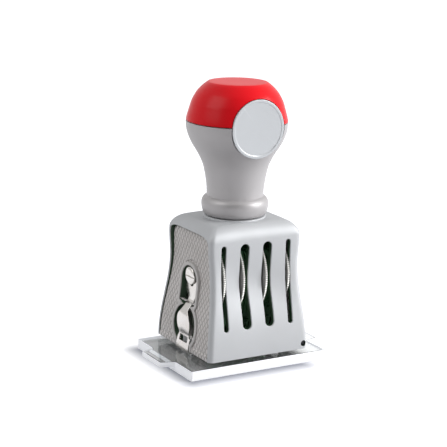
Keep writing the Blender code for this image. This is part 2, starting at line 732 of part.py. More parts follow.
def make_axle(finishes):
    """The axle, and the slotted shoulder screws in its ends that the clips hook on."""
    half_length = cheek_outer + FIT_GAP
    place = (0.0, 0.0, AXLE_HEIGHT)
    axle = rod("wheel_axle", AXLE_RADIUS, -half_length, half_length, place, "X",
               finish=finishes["dark"])
    for name, side in (("left", -1), ("right", 1)):
        shank_end = half_length - SCREW_SHANK_LENGTH
        hole = SCREW_SHANK_RADIUS + FIT_GAP
        cutter = rod(f"axle_{name}_cutter", hole, side * (shank_end - FIT_GAP),
                     side * (half_length + OVERRUN), place, "X", SCREW_SEGMENTS)
        boolean(axle, cutter)
        shoulder = half_length + FIT_GAP
        under_head = tongue_outer + FIT_GAP
        head_end = under_head + SCREW_HEAD_HEIGHT
        profile = ((0.0, side * shank_end), (SCREW_SHANK_RADIUS, side * shank_end),
                   (SCREW_SHANK_RADIUS, side * shoulder), (SCREW_SHOULDER_RADIUS, side * shoulder),
                   (SCREW_SHOULDER_RADIUS, side * under_head), (SCREW_HEAD_RADIUS, side * under_head),
                   (SCREW_HEAD_RADIUS, side * (head_end - SCREW_HEAD_EDGE)),
                   (SCREW_HEAD_RADIUS - SCREW_HEAD_EDGE, side * head_end), (0.0, side * head_end))
        screw = turned(f"axle_screw_{name}", profile, place, "X", finish=finishes["nickel"],
                       segments=SMALL_SEGMENTS)
        slot_floor = head_end - SCREW_SLOT_DEPTH
        ends = sorted((side * slot_floor, side * (head_end + OVERRUN)))
        reach = SCREW_HEAD_RADIUS + OVERRUN
        cutter = box(f"axle_screw_{name}_cutter", (ends[0], -reach, AXLE_HEIGHT - SCREW_SLOT_WIDTH / 2),
                     (ends[1], reach, AXLE_HEIGHT + SCREW_SLOT_WIDTH / 2))
        boolean(screw, cutter)


def disc_places():
    """The four discs' places along the axle, from the left."""
    second = -INNER_SLOT_X - INNER_DISC_SHIFT
    third = INNER_SLOT_X - INNER_DISC_SHIFT
    return (-OUTER_DISC_X, second, third, OUTER_DISC_X)


def drum_spans():
    """Where each wheel's drum lies: against its disc, and clear of the next piece."""
    half_disc = DISC_THICKNESS / 2
    first, second, third, fourth = disc_places()
    middle = (second + third) / 2
    return (
        (first + half_disc, second - half_disc - FIT_GAP),
        (second + half_disc, middle - FIT_GAP / 2),
        (middle + FIT_GAP / 2, third - half_disc),
        (third + half_disc + FIT_GAP, fourth - half_disc),
    )


def make_wheel(name, disc_x, span, finish):
    """A thumb wheel: toothed disc with the drum that drives its band, and a bore."""
    centre = (disc_x, 0.0, AXLE_HEIGHT)
    outline = []
    for tooth in range(TOOTH_COUNT):
        start = 360 * tooth / TOOTH_COUNT
        for share, radius in ((0.0, DISC_RADIUS), (0.5, DISC_RADIUS - TOOTH_DEPTH)):
            outline += arc((0.0, AXLE_HEIGHT), radius, start + share * 360 / TOOTH_COUNT, start, 1)
    half_disc = DISC_THICKNESS / 2
    wheel = prism(name, outline, "X", disc_x - half_disc, disc_x + half_disc, finish, centre)
    away = span[0] if abs(span[0] - disc_x) > abs(span[1] - disc_x) else span[1]
    drum = rod(f"{name}_drum_form", drum_radius, 0.0, away - disc_x, centre, "X", ROUND_SEGMENTS)
    boolean(wheel, drum, "UNION")
    reach = OUTER_DISC_X + OVERRUN
    bore = rod(f"{name}_bore_cutter", AXLE_RADIUS + FIT_GAP, -reach, reach, centre, "X")
    boolean(wheel, bore)


def band_path(offset, count_top, count_bottom):
    """The band's loop in (y, z) at an offset out from its inner face."""
    rise = AXLE_HEIGHT - nose_height
    lean = math.degrees(math.asin((band_drum_radius - band_nose_radius) / rise))
    top = arc((0.0, AXLE_HEIGHT), band_drum_radius + offset, -lean, 180 + lean, count_top)
    bottom = arc((0.0, nose_height), band_nose_radius + offset, 180 + lean, 360 - lean, count_bottom)
    return top + bottom


def make_band(name, span, finish):
    """A rubber band round drum and nose, with raised type blocks round its outside."""
    low = span[0] + BAND_SIDE_GAP
    high = span[1] - BAND_SIDE_GAP
    outer = band_path(BAND_THICKNESS, 17, 9)
    inner = band_path(0.0, 17, 9)
    count = len(outer)
    points = []
    for x in (low, high):
        points += [(x, y, z) for y, z in outer + inner]
    faces = []
    for step in range(count):
        following = (step + 1) % count
        far = 2 * count
        faces.append((step, following, far + following, far + step))
        faces.append((count + step, count + following, far + count + following, far + count + step))
        faces.append((step, following, count + following, count + step))
        faces.append((far + step, far + following, far + count + following, far + count + step))
    band = add_object(name, points, faces, finish)
    boolean(band, type_blocks(f"{name}_type_form", low + TYPE_EDGE, high - TYPE_EDGE), "UNION")


def type_blocks(name, low, high):
    """The raised type blocks, evenly spaced along the band's outer face."""
    middle = np.array(band_path(BAND_THICKNESS / 2, 60, 40))
    closed = np.vstack([middle, middle[:1]])
    steps = np.hypot(*np.diff(closed, axis=0).T)
    travelled = np.concatenate([[0.0], np.cumsum(steps)])
    bottom = np.argmin(middle[:, 1])
    points, faces = [], []
    for number in range(TYPE_COUNT):
        place = (travelled[bottom] + number * travelled[-1] / TYPE_COUNT) % travelled[-1]
        where = np.array([np.interp(place, travelled, closed[:, i]) for i in (0, 1)])
        ahead = (place + TYPE_HEIGHT / 2) % travelled[-1]
        behind = (place - TYPE_HEIGHT / 2) % travelled[-1]
        front = np.array([np.interp(ahead, travelled, closed[:, i]) for i in (0, 1)])
        rear = np.array([np.interp(behind, travelled, closed[:, i]) for i in (0, 1)])
        along = (front - rear) / np.hypot(*(front - rear))
        outwards = np.array((along[1], -along[0]))
        half = TYPE_HEIGHT / 2
        level = BAND_THICKNESS / 2 + TYPE_RISE
        start = len(points)
        for x in (low, high):
            for shift, rise in ((-half, 0.0), (half, 0.0), (half, level), (-half, level)):
                y, z = where + shift * along + rise * outwards
                points.append((x, y, z))
        for corners in ((0, 1, 2, 3), (4, 5, 6, 7), (0, 1, 5, 4), (1, 2, 6, 5), (2, 3, 7, 6), (3, 0, 4, 7)):
            faces.append(tuple(start + corner for corner in corners))
    return add_object(name, points, faces)


def tabbed_plate(finish):
    """A rectangle with a pull tab at each side, the tabs only in its upper part."""
    wide, deep = plate_half_width, plate_half_depth
    tip = wide + TAB_REACH
    right = [(wide, -deep), (wide, -TAB_ROOT_HALF), (tip, -TAB_TIP_HALF), (tip, TAB_TIP_HALF),
             (wide, TAB_ROOT_HALF), (wide, deep)]
    outline = right + [(-x, -y) for x, y in right]
    lower = [place for place, (x, y) in enumerate(outline) if abs(x) <= wide]
    points = [(x, y, PLATE_THICKNESS) for x, y in outline]
    points += [(x, y, PLATE_THICKNESS - TAB_THICKNESS) for x, y in outline]
    points += [(*outline[place], 0.0) for place in lower]
    many, few = len(outline), len(lower)
    faces = [list(range(many)), list(range(2 * many, 2 * many + few))]
    for place in range(many):
        after = (place + 1) % many
        faces.append([many + place, many + after, after, place])
    for place in range(few):
        after = (place + 1) % few
        faces.append([2 * many + place, 2 * many + after, many + lower[after], many + lower[place]])
    tips = [place for place in range(many) if place not in lower]
    for first in tips[::2]:
        faces.append([many + first - 1, many + first, many + first + 1, many + (first + 2) % many])
    return add_object("die_plate", points, faces, finish)


def make_plate(finish):
    """The clear die plate, with its window for the bands and blind holes for the rivets."""
    plate = tabbed_plate(finish)
    bevel(plate, PLATE_EDGE, 2)
    window = box("window_cutter", (-window_half_width, -window_half_depth, -OVERRUN),
                 (window_half_width, window_half_depth, PLATE_THICKNESS + OVERRUN))
    boolean(plate, window)
    for number, (x, y) in enumerate(rivet_places()):
        floor = PLATE_THICKNESS - RIVET_DEPTH - FIT_GAP
        hole = rod(f"rivet_cutter_{number}", RIVET_RADIUS + FIT_GAP, floor,
                   PLATE_THICKNESS + OVERRUN, (x, y, 0.0), "Z", SCREW_SEGMENTS)
        boolean(plate, hole)
    return plate


def rivet_places():
    """The four rivets' places in (x, y)."""
    x = clip_foot_x - RIVET_INSET
    return [(side * x, sign * RIVET_HALF_SPACING) for side in (-1, 1) for sign in (-1, 1)]


def make_clip(name, side, finish, plate):
    """A bent spring strip: flange on the plate, foot, round thumb pad, forked tongue."""
    reach = clip_foot_x - CLIP_STRIP / 2 - (tongue_inner + CLIP_STRIP / 2)
    middle = tongue_inner + CLIP_STRIP / 2
    path = [(clip_foot_x - CLIP_FLANGE_LENGTH, flange_height, CLIP_HALF_WIDTH)]
    path.append((clip_foot_x - CLIP_STRIP / 2 - CLIP_BEND, flange_height, CLIP_HALF_WIDTH))
    for up, out, wide in CLIP_SHARES:
        height = flange_height + up * (clip_top - flange_height)
        path.append((middle + out * reach, height, wide * CLIP_HALF_WIDTH))
    path = np.array(fair(path[:2], 2) + fair(path[2:], 30))
    above = np.maximum(path[:, 1] - arch_height, 0.0)
    path[:, 2] = np.minimum(path[:, 2], np.sqrt(tongue_arch**2 - above**2))
    along = np.gradient(path[:, :2], axis=0)
    along /= np.hypot(*along.T)[:, None]
    across = np.column_stack([-along[:, 1], along[:, 0]]) * CLIP_STRIP / 2
    rings = []
    for (x, z, wide), (dx, dz) in zip(path, across):
        corners = ((x - dx, -wide, z - dz), (x - dx, wide, z - dz),
                   (x + dx, wide, z + dz), (x + dx, -wide, z + dz))
        rings.append([(side * cx, cy, cz) for cx, cy, cz in corners])
    hinge = (side * clip_foot_x, 0.0, flange_height - CLIP_STRIP / 2)
    clip = loft(name, rings, finish, hinge)
    clip.parent = plate
    fork_low = clip_top - CLIP_FORK_DEPTH
    outline = arc((0.0, fork_low + fork_half), fork_half, 180, 360, 9)
    outline += [(fork_half, clip_top + OVERRUN), (-fork_half, clip_top + OVERRUN)]
    inside = tongue_inner - OVERRUN
    outside = tongue_outer + OVERRUN
    boolean(clip, prism(f"{name}_fork_cutter", outline, "X", side * inside, side * outside))
    ends = sorted((side * tongue_outer, side * (clip_foot_x + OVERRUN)))
    hole = box(f"{name}_hole_cutter", (ends[0], -CLIP_HOLE_HALF_WIDTH, CLIP_HOLE_LOW),
               (ends[1], CLIP_HOLE_HALF_WIDTH, CLIP_HOLE_HIGH))
    boolean(clip, hole)
    for number, (x, y) in enumerate(rivet_places()):
        if x * side > 0:
            boolean(clip, rod(f"{name}_rivet_cutter_{number}", RIVET_RADIUS + FIT_GAP, 0.0,
                              flange_height + OVERRUN, (x, y, 0.0), "Z", SCREW_SEGMENTS))
    return clip


def make_rivets(finish, plate):
    """Four rivets that hold the clips' flanges down on the plate."""
    names = ("left_front", "left_rear", "right_front", "right_rear")
    under_head = flange_height + CLIP_STRIP / 2 + FIT_GAP / 2
    foot = PLATE_THICKNESS - RIVET_DEPTH
    head_top = under_head + RIVET_HEAD_HEIGHT
    for name, (x, y) in zip(names, rivet_places()):
        profile = ((0.0, foot), (RIVET_RADIUS, foot), (RIVET_RADIUS, under_head),
                   (RIVET_HEAD_RADIUS, under_head), (RIVET_HEAD_RADIUS * HEAD_CROWN_SHARE, head_top),
                   (0.0, head_top))
        rivet = turned(f"clip_rivet_{name}", profile, (x, y, 0.0), "Z", SCREW_SEGMENTS, finish)
        rivet.parent = plate


def make_pin(finish, shell, plate):
    """The dark pin in the shell's lower front corner, which holds the right side plate."""
    place = (pin_x, 0.0, pin_height)
    front = half_depth(pin_height)
    hole = PIN_RADIUS + FIT_GAP
    end = front - PIN_SUNK - PIN_LENGTH
    cutter = rod("pin_cutter", hole, -(end - FIT_GAP), -(front + OVERRUN), place, "Y")
    boolean(shell, cutter)
    boolean(plate, cutter)
    rod("retaining_pin", PIN_RADIUS, -end, -(front - PIN_SUNK), place, "Y", SCREW_SEGMENTS, finish)


def build():
    """Clear the scene and make every piece."""
    for old in list(bpy.data.objects):
        bpy.data.objects.remove(old, do_unlink=True)
    finishes = make_materials()
    shell = make_housing(finishes["shell"])
    make_side_plate("side_plate_left", -1, finishes["side"])
    right = make_side_plate("side_plate_right", 1, finishes["side"])
    make_pin(finishes["dark"], shell, right)
    make_handle(finishes)
    make_handle_fastening(finishes)
    make_strap(finishes["nickel"])
    make_bridge(finishes)
    make_axle(finishes)
    wheel_names = ("month", "day_tens", "day_units", "year")
    for name, disc_x, span in zip(wheel_names, disc_places(), drum_spans()):
        make_wheel(f"thumb_wheel_{name}", disc_x, span, finishes["steel"])
        make_band(f"date_band_{name}", span, finishes["rubber"])
    plate = make_plate(finishes["clear"])
    make_clip("plate_clip_left", -1, finishes["nickel"], plate)
    make_clip("plate_clip_right", 1, finishes["nickel"], plate)
    make_rivets(finishes["nickel"], plate)


build()
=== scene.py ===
# Looks of a hand date stamp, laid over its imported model.
# Metres, +Z up, and the front with the badge faces -Y.
import math
import bmesh
import bpy
import numpy as np
from mathutils import Matrix, Vector


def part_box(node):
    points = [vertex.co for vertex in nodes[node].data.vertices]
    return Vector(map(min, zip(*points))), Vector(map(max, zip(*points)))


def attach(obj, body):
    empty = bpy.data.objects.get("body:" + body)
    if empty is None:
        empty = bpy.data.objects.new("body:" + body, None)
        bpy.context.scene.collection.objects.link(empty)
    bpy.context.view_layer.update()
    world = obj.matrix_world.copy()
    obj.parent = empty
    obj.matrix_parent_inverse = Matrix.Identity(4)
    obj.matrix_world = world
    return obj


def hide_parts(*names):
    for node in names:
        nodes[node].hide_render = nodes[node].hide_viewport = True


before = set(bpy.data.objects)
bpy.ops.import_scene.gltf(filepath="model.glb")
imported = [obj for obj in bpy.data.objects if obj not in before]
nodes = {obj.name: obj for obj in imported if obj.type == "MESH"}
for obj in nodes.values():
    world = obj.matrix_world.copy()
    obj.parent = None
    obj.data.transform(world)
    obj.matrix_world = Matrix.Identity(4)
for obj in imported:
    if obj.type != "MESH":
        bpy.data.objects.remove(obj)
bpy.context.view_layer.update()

mm = 0.001
fitGap = 0.3 * mm
overrun = 2.0 * mm  # how far a cutting form passes the face it cuts
sides = (("left", -1), ("right", 1))
noiseLow, noiseHigh = 0.3, 0.7  # a noise texture has most of its values between these


def span(node):
    # lowest and highest corner of a CAD node as arrays
    low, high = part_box(node)
    return np.array(low), np.array(high)


# Mesh helpers

def linked(name, data):
    # a new object in the scene
    made = bpy.data.objects.new(name, data)
    bpy.context.scene.collection.objects.link(made)
    return made


def reworked(mesh, *steps):
    # the mesh is opened once, and each step changes it in turn
    work = bmesh.new()
    work.from_mesh(mesh)
    for step in steps:
        step(work)
    work.to_mesh(mesh)
    work.free()


def mergeDoubles(work):
    # points in one place become one
    bmesh.ops.remove_doubles(work, verts=work.verts, dist=1e-7)


def faceOutwards(work):
    # every face's normal points away from the inside
    bmesh.ops.recalc_face_normals(work, faces=work.faces)


def dropLoose(work):
    # points that no face uses go
    bmesh.ops.delete(work, geom=[point for point in work.verts if not point.link_faces], context="VERTS")


def gridQuads(rows, columns, closeRows, closeColumns):
    # each quad joins a grid point to its neighbours, wrapped round where a direction is closed
    row = np.arange(rows if closeRows else rows - 1)[:, None]
    column = np.arange(columns if closeColumns else columns - 1)[None, :]
    nextRow = (row + 1) % rows
    nextColumn = (column + 1) % columns
    corners = (row * columns + column, row * columns + nextColumn,
               nextRow * columns + nextColumn, nextRow * columns + column)
    return np.stack(np.broadcast_arrays(*corners), -1).reshape(-1, 4)


def makeMesh(name, points, quads, caps=(), sharpAngle=32, outward=True, marks=None):
    # doubles at poles and seams are merged, faces turned outwards, edges past sharpAngle kept sharp
    mesh = bpy.data.meshes.new(name)
    mesh.from_pydata(points.tolist(), [], quads.tolist() + [list(map(int, cap)) for cap in caps])
    if marks is not None:  # which material each face takes
        mesh.polygons.foreach_set("material_index", np.concatenate([marks, np.ones(len(caps), int)]))
    reworked(mesh, *((mergeDoubles, faceOutwards) if outward else (mergeDoubles,)))
    mesh.shade_smooth()
    mesh.set_sharp_from_angle(angle=math.radians(sharpAngle))
    return linked(name, mesh)


def skin(name, grid, closeRows=False, closeColumns=True, capped=False, rowMarks=None, columnMarks=None, **options):
    # a surface through a grid of points (rows, columns, 3), with flat caps on its end rows if wanted
    rows, columns = grid.shape[:2]
    quads = gridQuads(rows, columns, closeRows, closeColumns)
    across = columns if closeColumns else columns - 1
    if rowMarks is not None:
        options["marks"] = np.repeat(rowMarks, across)
    if columnMarks is not None:
        options["marks"] = np.tile(columnMarks, len(quads) // across)
    caps = (np.arange(columns), np.arange(columns) + (rows - 1) * columns) if capped else ()
    return makeMesh(name, grid.reshape(-1, 3), quads, caps, **options)


def dress(piece, *materials):
    # material slots in order, while each face keeps its own choice
    while len(piece.data.materials) < len(materials):
        piece.data.materials.append(None)
    for index, material in enumerate(materials):
        piece.data.materials[index] = material


def finish(piece, slot, *materials, body="stamp_body", stands=()):
    # materials, body and the CAD nodes that the piece stands for; slot is not used
    if len(materials) == 1:
        piece.data.materials.clear()
    dress(piece, *materials)
    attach(piece, body)
    if stands:
        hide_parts(*stands)


def carve(target, cutters, sharpAngle):
    # each cutter is taken out of the target, then thrown away
    for cutter in cutters:
        step = target.modifiers.new("carve", "BOOLEAN")
        step.operation = "DIFFERENCE"
        step.solver = "EXACT"
        step.object = cutter
    shaped = bpy.data.meshes.new_from_object(target.evaluated_get(bpy.context.evaluated_depsgraph_get()))
    target.modifiers.clear()
    target.data = shaped
    shaped.set_sharp_from_angle(angle=math.radians(sharpAngle))
    for cutter in cutters:
        bpy.data.objects.remove(cutter, do_unlink=True)


def rounded(corners, radius, steps=4, closed=False):
    # every corner B of a path becomes a parabola from A to C, where A and C lie up to radius from B
    path = np.array(corners, float)
    if closed:
        before, after, middle = np.roll(path, 1, 0), np.roll(path, -1, 0), path
    else:
        before, after, middle = path[:-2], path[2:], path[1:-1]
    back = before - middle
    ahead = after - middle
    start = middle + back * np.minimum(radius / np.linalg.norm(back, axis=1, keepdims=True), 0.48)
    end = middle + ahead * np.minimum(radius / np.linalg.norm(ahead, axis=1, keepdims=True), 0.48)
    t = np.linspace(0, 1, steps + 1)[None, :, None]
    curve = (1 - t) ** 2 * start[:, None] + 2 * t * (1 - t) * middle[:, None] + t ** 2 * end[:, None]
    curve = curve.reshape(-1, path.shape[1])
    return curve if closed else np.vstack([path[:1], curve, path[-1:]])


def fair(knots, rows):
    # Catmull-Rom curve through the knots, read at even steps
    path = np.array(knots, float)
    padded = np.vstack([2 * path[0] - path[1], path, 2 * path[-1] - path[-2]])
    places = np.linspace(0, len(path) - 1, rows)
    index = np.minimum(places.astype(int), len(path) - 2)
    t = (places - index)[:, None]
    a, b, c, d = (padded[index + step] for step in range(4))
    return b + 0.5 * t * (c - a + t * (2 * a - 5 * b + 4 * c - d + t * (3 * (b - c) + d - a)))


def circle(centre, radius, start, end, count):
    # points on a circle from one angle to another, in degrees
    angle = np.radians(np.linspace(start, end, count))
    return np.column_stack([centre[0] + radius * np.cos(angle), centre[1] + radius * np.sin(angle)])


def turned(name, profile, centre=(0, 0, 0), axis="Z", segments=96):
    # a profile of (radius, place along the axis) turned about that axis
    profile = np.array(profile, float)
    angle = np.linspace(0, 2 * math.pi, segments, endpoint=False)
    across = profile[:, :1] * np.cos(angle)
    upwards = profile[:, :1] * np.sin(angle)
    along = np.broadcast_to(profile[:, 1:], across.shape)
    order = {"Z": (across, upwards, along), "Y": (across, along, upwards), "X": (along, across, upwards)}[axis]
    return skin(name, np.stack(order, -1) + np.array(centre, float))


def prismX(name, outline, start, end):
    # a flat outline in (y, z) carried along X
    outline = np.array(outline)
    rings = [np.column_stack([np.full(len(outline), x), outline]) for x in (start, end)]
    return skin(name, np.array(rings), capped=True)


# Node helpers

def place(tree, kind, links=None, **settings):
    # a node with its settings, and its inputs set to values or linked to sockets
    node = tree.nodes.new(kind)
    for key, value in settings.items():
        setattr(node, key, value)
    for key, value in (links or {}).items():
        if isinstance(value, bpy.types.NodeSocket):
            tree.links.new(value, node.inputs[key])
        else:
            node.inputs[key].default_value = value
    return node


def calc(tree, operation, first, second):
    # one step of arithmetic on two values
    return place(tree, "ShaderNodeMath", {0: first, 1: second}, operation=operation).outputs[0]


def calcVector(tree, operation, first, second=(0, 0, 0)):
    # one step of arithmetic on two vectors, with its outputs Vector and Value
    return place(tree, "ShaderNodeVectorMath", {0: first, 1: second}, operation=operation).outputs


def noise(tree, spot, scale, detail):
    # smooth random values at a scale in turns to the metre
    settings = {"Vector": spot, "Scale": scale, "Detail": detail}
    return place(tree, "ShaderNodeTexNoise", settings).outputs["Fac"]


def between(tree, value, low, high, fromLow=0.0, fromHigh=1.0):
    # carries a value from one range to another
    return place(tree, "ShaderNodeMapRange", {"Value": value, "From Min": fromLow, "From Max": fromHigh,
                                              "To Min": low, "To Max": high}).outputs[0]


def mixColour(tree, factor, first, second):
    # from one colour to another, each a socket or three numbers
    first, second = (colour if isinstance(colour, bpy.types.NodeSocket) else (*colour, 1.0)
                     for colour in (first, second))
    return place(tree, "ShaderNodeMix", {0: factor, 6: first, 7: second}, data_type="RGBA").outputs[2]


def newGroup(name, inputs):
    # a shader node group with float inputs, and the Object coordinates that its pattern reads
    tree = bpy.data.node_groups.new(name, "ShaderNodeTree")
    for label, value in inputs.items():
        tree.interface.new_socket(label, in_out="INPUT", socket_type="NodeSocketFloat").default_value = value
    return tree, tree.nodes.new("NodeGroupInput").outputs, place(tree, "ShaderNodeTexCoord").outputs["Object"]


def closeGroup(tree, outputs):
    # names the group's outputs and links a socket to each
    for label in outputs:
        tree.interface.new_socket(label, in_out="OUTPUT", socket_type="NodeSocketFloat")
    place(tree, "NodeGroupOutput", outputs)
    return tree


def useGroup(tree, group, **values):
    # a group placed in a material with its own values
    return place(tree, "ShaderNodeGroup", values, node_tree=group).outputs


def mouldGrainGroup():
    # fine moulded grain: a small noise for height, and slow clouds for tone and gloss
    tree, inlet, spot = newGroup("mouldGrain", {"Grain": 2600.0, "Clouds": 90.0})
    return closeGroup(tree, {"Height": noise(tree, spot, inlet["Grain"], detail=3.0),
                             "Patches": noise(tree, spot, inlet["Clouds"], detail=4.0)})


def brushGroup():
    # brushed lines: noise squeezed along one axis, chosen by three stretch values
    tree, inlet, spot = newGroup("brushLines", {"X": 1.0, "Y": 1.0, "Z": 1.0})
    stretch = place(tree, "ShaderNodeCombineXYZ", {axis: inlet[axis] for axis in "XYZ"}).outputs[0]
    scaled = calcVector(tree, "MULTIPLY", spot, stretch)[0]
    return closeGroup(tree, {"Lines": noise(tree, scaled, scale=1.0, detail=2.0),
                             "Stains": noise(tree, spot, scale=260.0, detail=5.0)})


def wearGroup():
    # wear where the surface bulges: pointiness between two levels, broken up by a noise
    tree, inlet, spot = newGroup("edgeWear", {"Start": 0.52, "End": 0.62})
    bulge = place(tree, "ShaderNodeNewGeometry").outputs["Pointiness"]
    level = between(tree, bulge, 0.0, 1.0, inlet["Start"], inlet["End"])
    broken = noise(tree, spot, scale=700.0, detail=4.0)
    return closeGroup(tree, {"Wear": calc(tree, "MULTIPLY", level, broken)})


def netGroup():
    # lozenge net on (y, z): lines where y / wide + z / tall or y / wide - z / tall is a whole number
    tree, inlet, spot = newGroup("lozengeNet", {"Wide": 0.0021, "Tall": 0.0031, "Line": 0.2})
    axes = place(tree, "ShaderNodeSeparateXYZ", {0: spot}).outputs
    across = calc(tree, "DIVIDE", axes["Y"], inlet["Wide"])
    upward = calc(tree, "DIVIDE", axes["Z"], inlet["Tall"])
    away = [calc(tree, "PINGPONG", calc(tree, sign, across, upward), 0.5) for sign in ("ADD", "SUBTRACT")]
    nearest = calc(tree, "MINIMUM", *away)
    return closeGroup(tree, {"Line": between(tree, nearest, 1.0, 0.0, 0.0, inlet["Line"])})


mouldGrain = mouldGrainGroup()
lozengeNet = netGroup()
brushLines = brushGroup()
edgeWear = wearGroup()


def newMaterial(name, **constants):
    # a Principled material whose constant sockets are set on the shader itself
    material = bpy.data.materials.new(name)
    material.use_nodes = True
    tree = material.node_tree
    shader = tree.nodes["Principled BSDF"]
    for label, value in constants.items():
        shader.inputs[label.replace("_", " ")].default_value = value
    return material, tree, shader


def cover(tree, shader, tint, gloss, height, look, low=noiseLow, high=noiseHigh):
    # colour, a roughness that swings about its level as gloss goes from low to high, and a bump
    rough, swing = look["rough"], look["roughSwing"]
    bump = place(tree, "ShaderNodeBump", {"Height": height, "Distance": look["bump"]}).outputs[0]
    tree.links.new(tint, shader.inputs["Base Color"])
    tree.links.new(between(tree, gloss, rough - swing, rough + swing, low, high), shader.inputs["Roughness"])
    tree.links.new(bump, shader.inputs["Normal"])


def mouldedPlastic(name, look, net=None, **constants):
    # a moulded plastic: colour drifts in slow clouds, gloss changes with them, grain in the bump
    material, tree, shader = newMaterial(name, **constants)
    grain = useGroup(tree, mouldGrain, Grain=look["grain"], Clouds=look["clouds"])
    patches = between(tree, grain["Patches"], 0.0, 1.0, noiseLow, noiseHigh)
    tint = mixColour(tree, patches, look["colour"], look["deep"])
    worn = calc(tree, "MULTIPLY", useGroup(tree, edgeWear)["Wear"], look["wear"])
    tint = mixColour(tree, worn, tint, look["worn"])
    if net:  # painted shade darkens the lines of the net, where the valleys between the lozenges lie
        line = useGroup(tree, lozengeNet, Wide=net["wide"], Tall=net["tall"], Line=net["line"])["Line"]
        tint = mixColour(tree, calc(tree, "MULTIPLY", line, net["creaseShade"]), tint, net["colour"])
    cover(tree, shader, tint, grain["Patches"], grain["Height"], look)
    return material


def metal(name, look, metallic=1.0):
    # a metal: brushed lines in the bump and gloss, stains in the colour, and dirt and painted shade where the look
    # asks for them
    material, tree, shader = newMaterial(name, Metallic=metallic)
    lines = useGroup(tree, brushLines, **dict(zip("XYZ", look["brush"])))
    stains = between(tree, lines["Stains"], 0.0, look["stain"], 0.35, 0.75)
    tint = mixColour(tree, stains, look["colour"], look["tarnish"])
    if "dirtAndShade" in look:  # a point attribute holds how deep a point lies in a knurl, as dirt and painted shade, and painted shade over the rim's bevel
        groove = place(tree, "ShaderNodeAttribute", attribute_name="groove").outputs["Fac"]
        tint = mixColour(tree, between(tree, groove, 0.0, 0.9), tint, look["dirtAndShade"])
    cover(tree, shader, tint, lines["Lines"], lines["Lines"], look)
    return material


def rubberMaterial(name, look):
    # green-black rubber: chalky dust in patches over a pebbled skin
    material, tree, shader = newMaterial(name, Metallic=0.0)
    grain = useGroup(tree, mouldGrain, Grain=look["grain"], Clouds=look["clouds"])
    dust = between(tree, grain["Patches"], 0.0, look["dust"], 0.45, 0.8)
    tint = mixColour(tree, dust, look["colour"], look["chalk"])
    cover(tree, shader, tint, grain["Patches"], grain["Height"], look, 0.0, 1.0)
    return material


def acrylicMaterial(name, look):
    # clear polished acrylic: nearly colourless, with faint smears in its gloss and a paler shadow
    material, tree, shader = newMaterial(name, Metallic=0.0, IOR=1.49, Transmission_Weight=1.0)
    patches = useGroup(tree, mouldGrain, Grain=look["grain"], Clouds=look["clouds"])["Patches"]
    tint = mixColour(tree, between(tree, patches, 0.0, 1.0), look["colour"], look["deep"])
    tree.links.new(tint, shader.inputs["Base Color"])
    tree.links.new(between(tree, patches, 0.0, look["smear"], 0.4, 0.8), shader.inputs["Roughness"])
    shadow = place(tree, "ShaderNodeLightPath").outputs["Is Shadow Ray"]
    passed = calc(tree, "MULTIPLY", shadow, look["shadowPass"])
    clear = place(tree, "ShaderNodeBsdfTransparent").outputs[0]
    both = place(tree, "ShaderNodeMixShader", {0: passed, 1: shader.outputs[0], 2: clear}).outputs[0]
    tree.links.new(both, tree.nodes["Material Output"].inputs["Surface"])
    return material


shellLook = {
    "colour": (0.58, 0.593, 0.612), "deep": (0.548, 0.56, 0.577), "worn": (0.74, 0.74, 0.77), "wear": 0.5,
    "grain": 2600.0, "clouds": 60.0, "bump": 0.012 * mm, "rough": 0.56, "roughSwing": 0.03,
}
handleLook = {**shellLook, "colour": (0.49, 0.475, 0.48), "deep": (0.46, 0.445, 0.45), "rough": 0.46}
sideLook = {
    "colour": (0.62, 0.60, 0.59), "deep": (0.57, 0.555, 0.545), "worn": (0.62, 0.61, 0.60), "wear": 0.8,
    "grain": 3000.0, "clouds": 80.0, "bump": 0.02 * mm, "rough": 0.5, "roughSwing": 0.05,
}
panelLook = {**sideLook, "colour": (0.74, 0.71, 0.70), "deep": (0.68, 0.65, 0.64)}
# size of the lozenges, and the painted shade in the lines between them
netLook = {"wide": 2.1 * mm, "tall": 3.1 * mm, "line": 0.17, "creaseShade": 0.8, "colour": (0.20, 0.185, 0.17)}
# unpainted dark green plastic inside the shell and on the walls of its cuts, which also stands as painted shade in the
# slots, holes and keyholes
bareShadeLook = {
    "colour": (0.034, 0.078, 0.040), "deep": (0.042, 0.084, 0.046), "worn": (0.05, 0.07, 0.05), "wear": 0.3,
    "grain": 2400.0, "clouds": 160.0, "bump": 0.02 * mm, "rough": 0.5, "roughSwing": 0.08,
}
capLook = {
    "colour": (0.90, 0.010, 0.018), "deep": (0.86, 0.009, 0.016), "worn": (0.78, 0.10, 0.11), "wear": 0.1,
    "grain": 900.0, "clouds": 40.0, "bump": 0.003 * mm, "rough": 0.3, "roughSwing": 0.02,
}
badgeLook = {
    "colour": (0.56, 0.58, 0.60), "deep": (0.535, 0.552, 0.57), "worn": (0.85, 0.86, 0.88), "wear": 0.6,
    "grain": 3200.0, "clouds": 50.0, "bump": 0.006 * mm, "rough": 0.34, "roughSwing": 0.03,
}
sawnLook = {
    "colour": (0.92, 0.925, 0.95), "deep": (0.89, 0.895, 0.92), "worn": (0.95, 0.95, 0.96), "wear": 0.2,
    "grain": 1500.0, "clouds": 120.0, "bump": 0.01 * mm, "rough": 0.45, "roughSwing": 0.06,
}
paintedEdgeGlow = (0.9, 0.93, 1.0, 1.0)  # painted glow: the sawn edges give off light of their own, which brightens them
nickelLook = {
    "colour": (0.64, 0.62, 0.60), "tarnish": (0.52, 0.47, 0.40), "stain": 0.35,
    "brush": (900.0, 1400.0, 160.0), "bump": 0.006 * mm, "rough": 0.2, "roughSwing": 0.06,
}
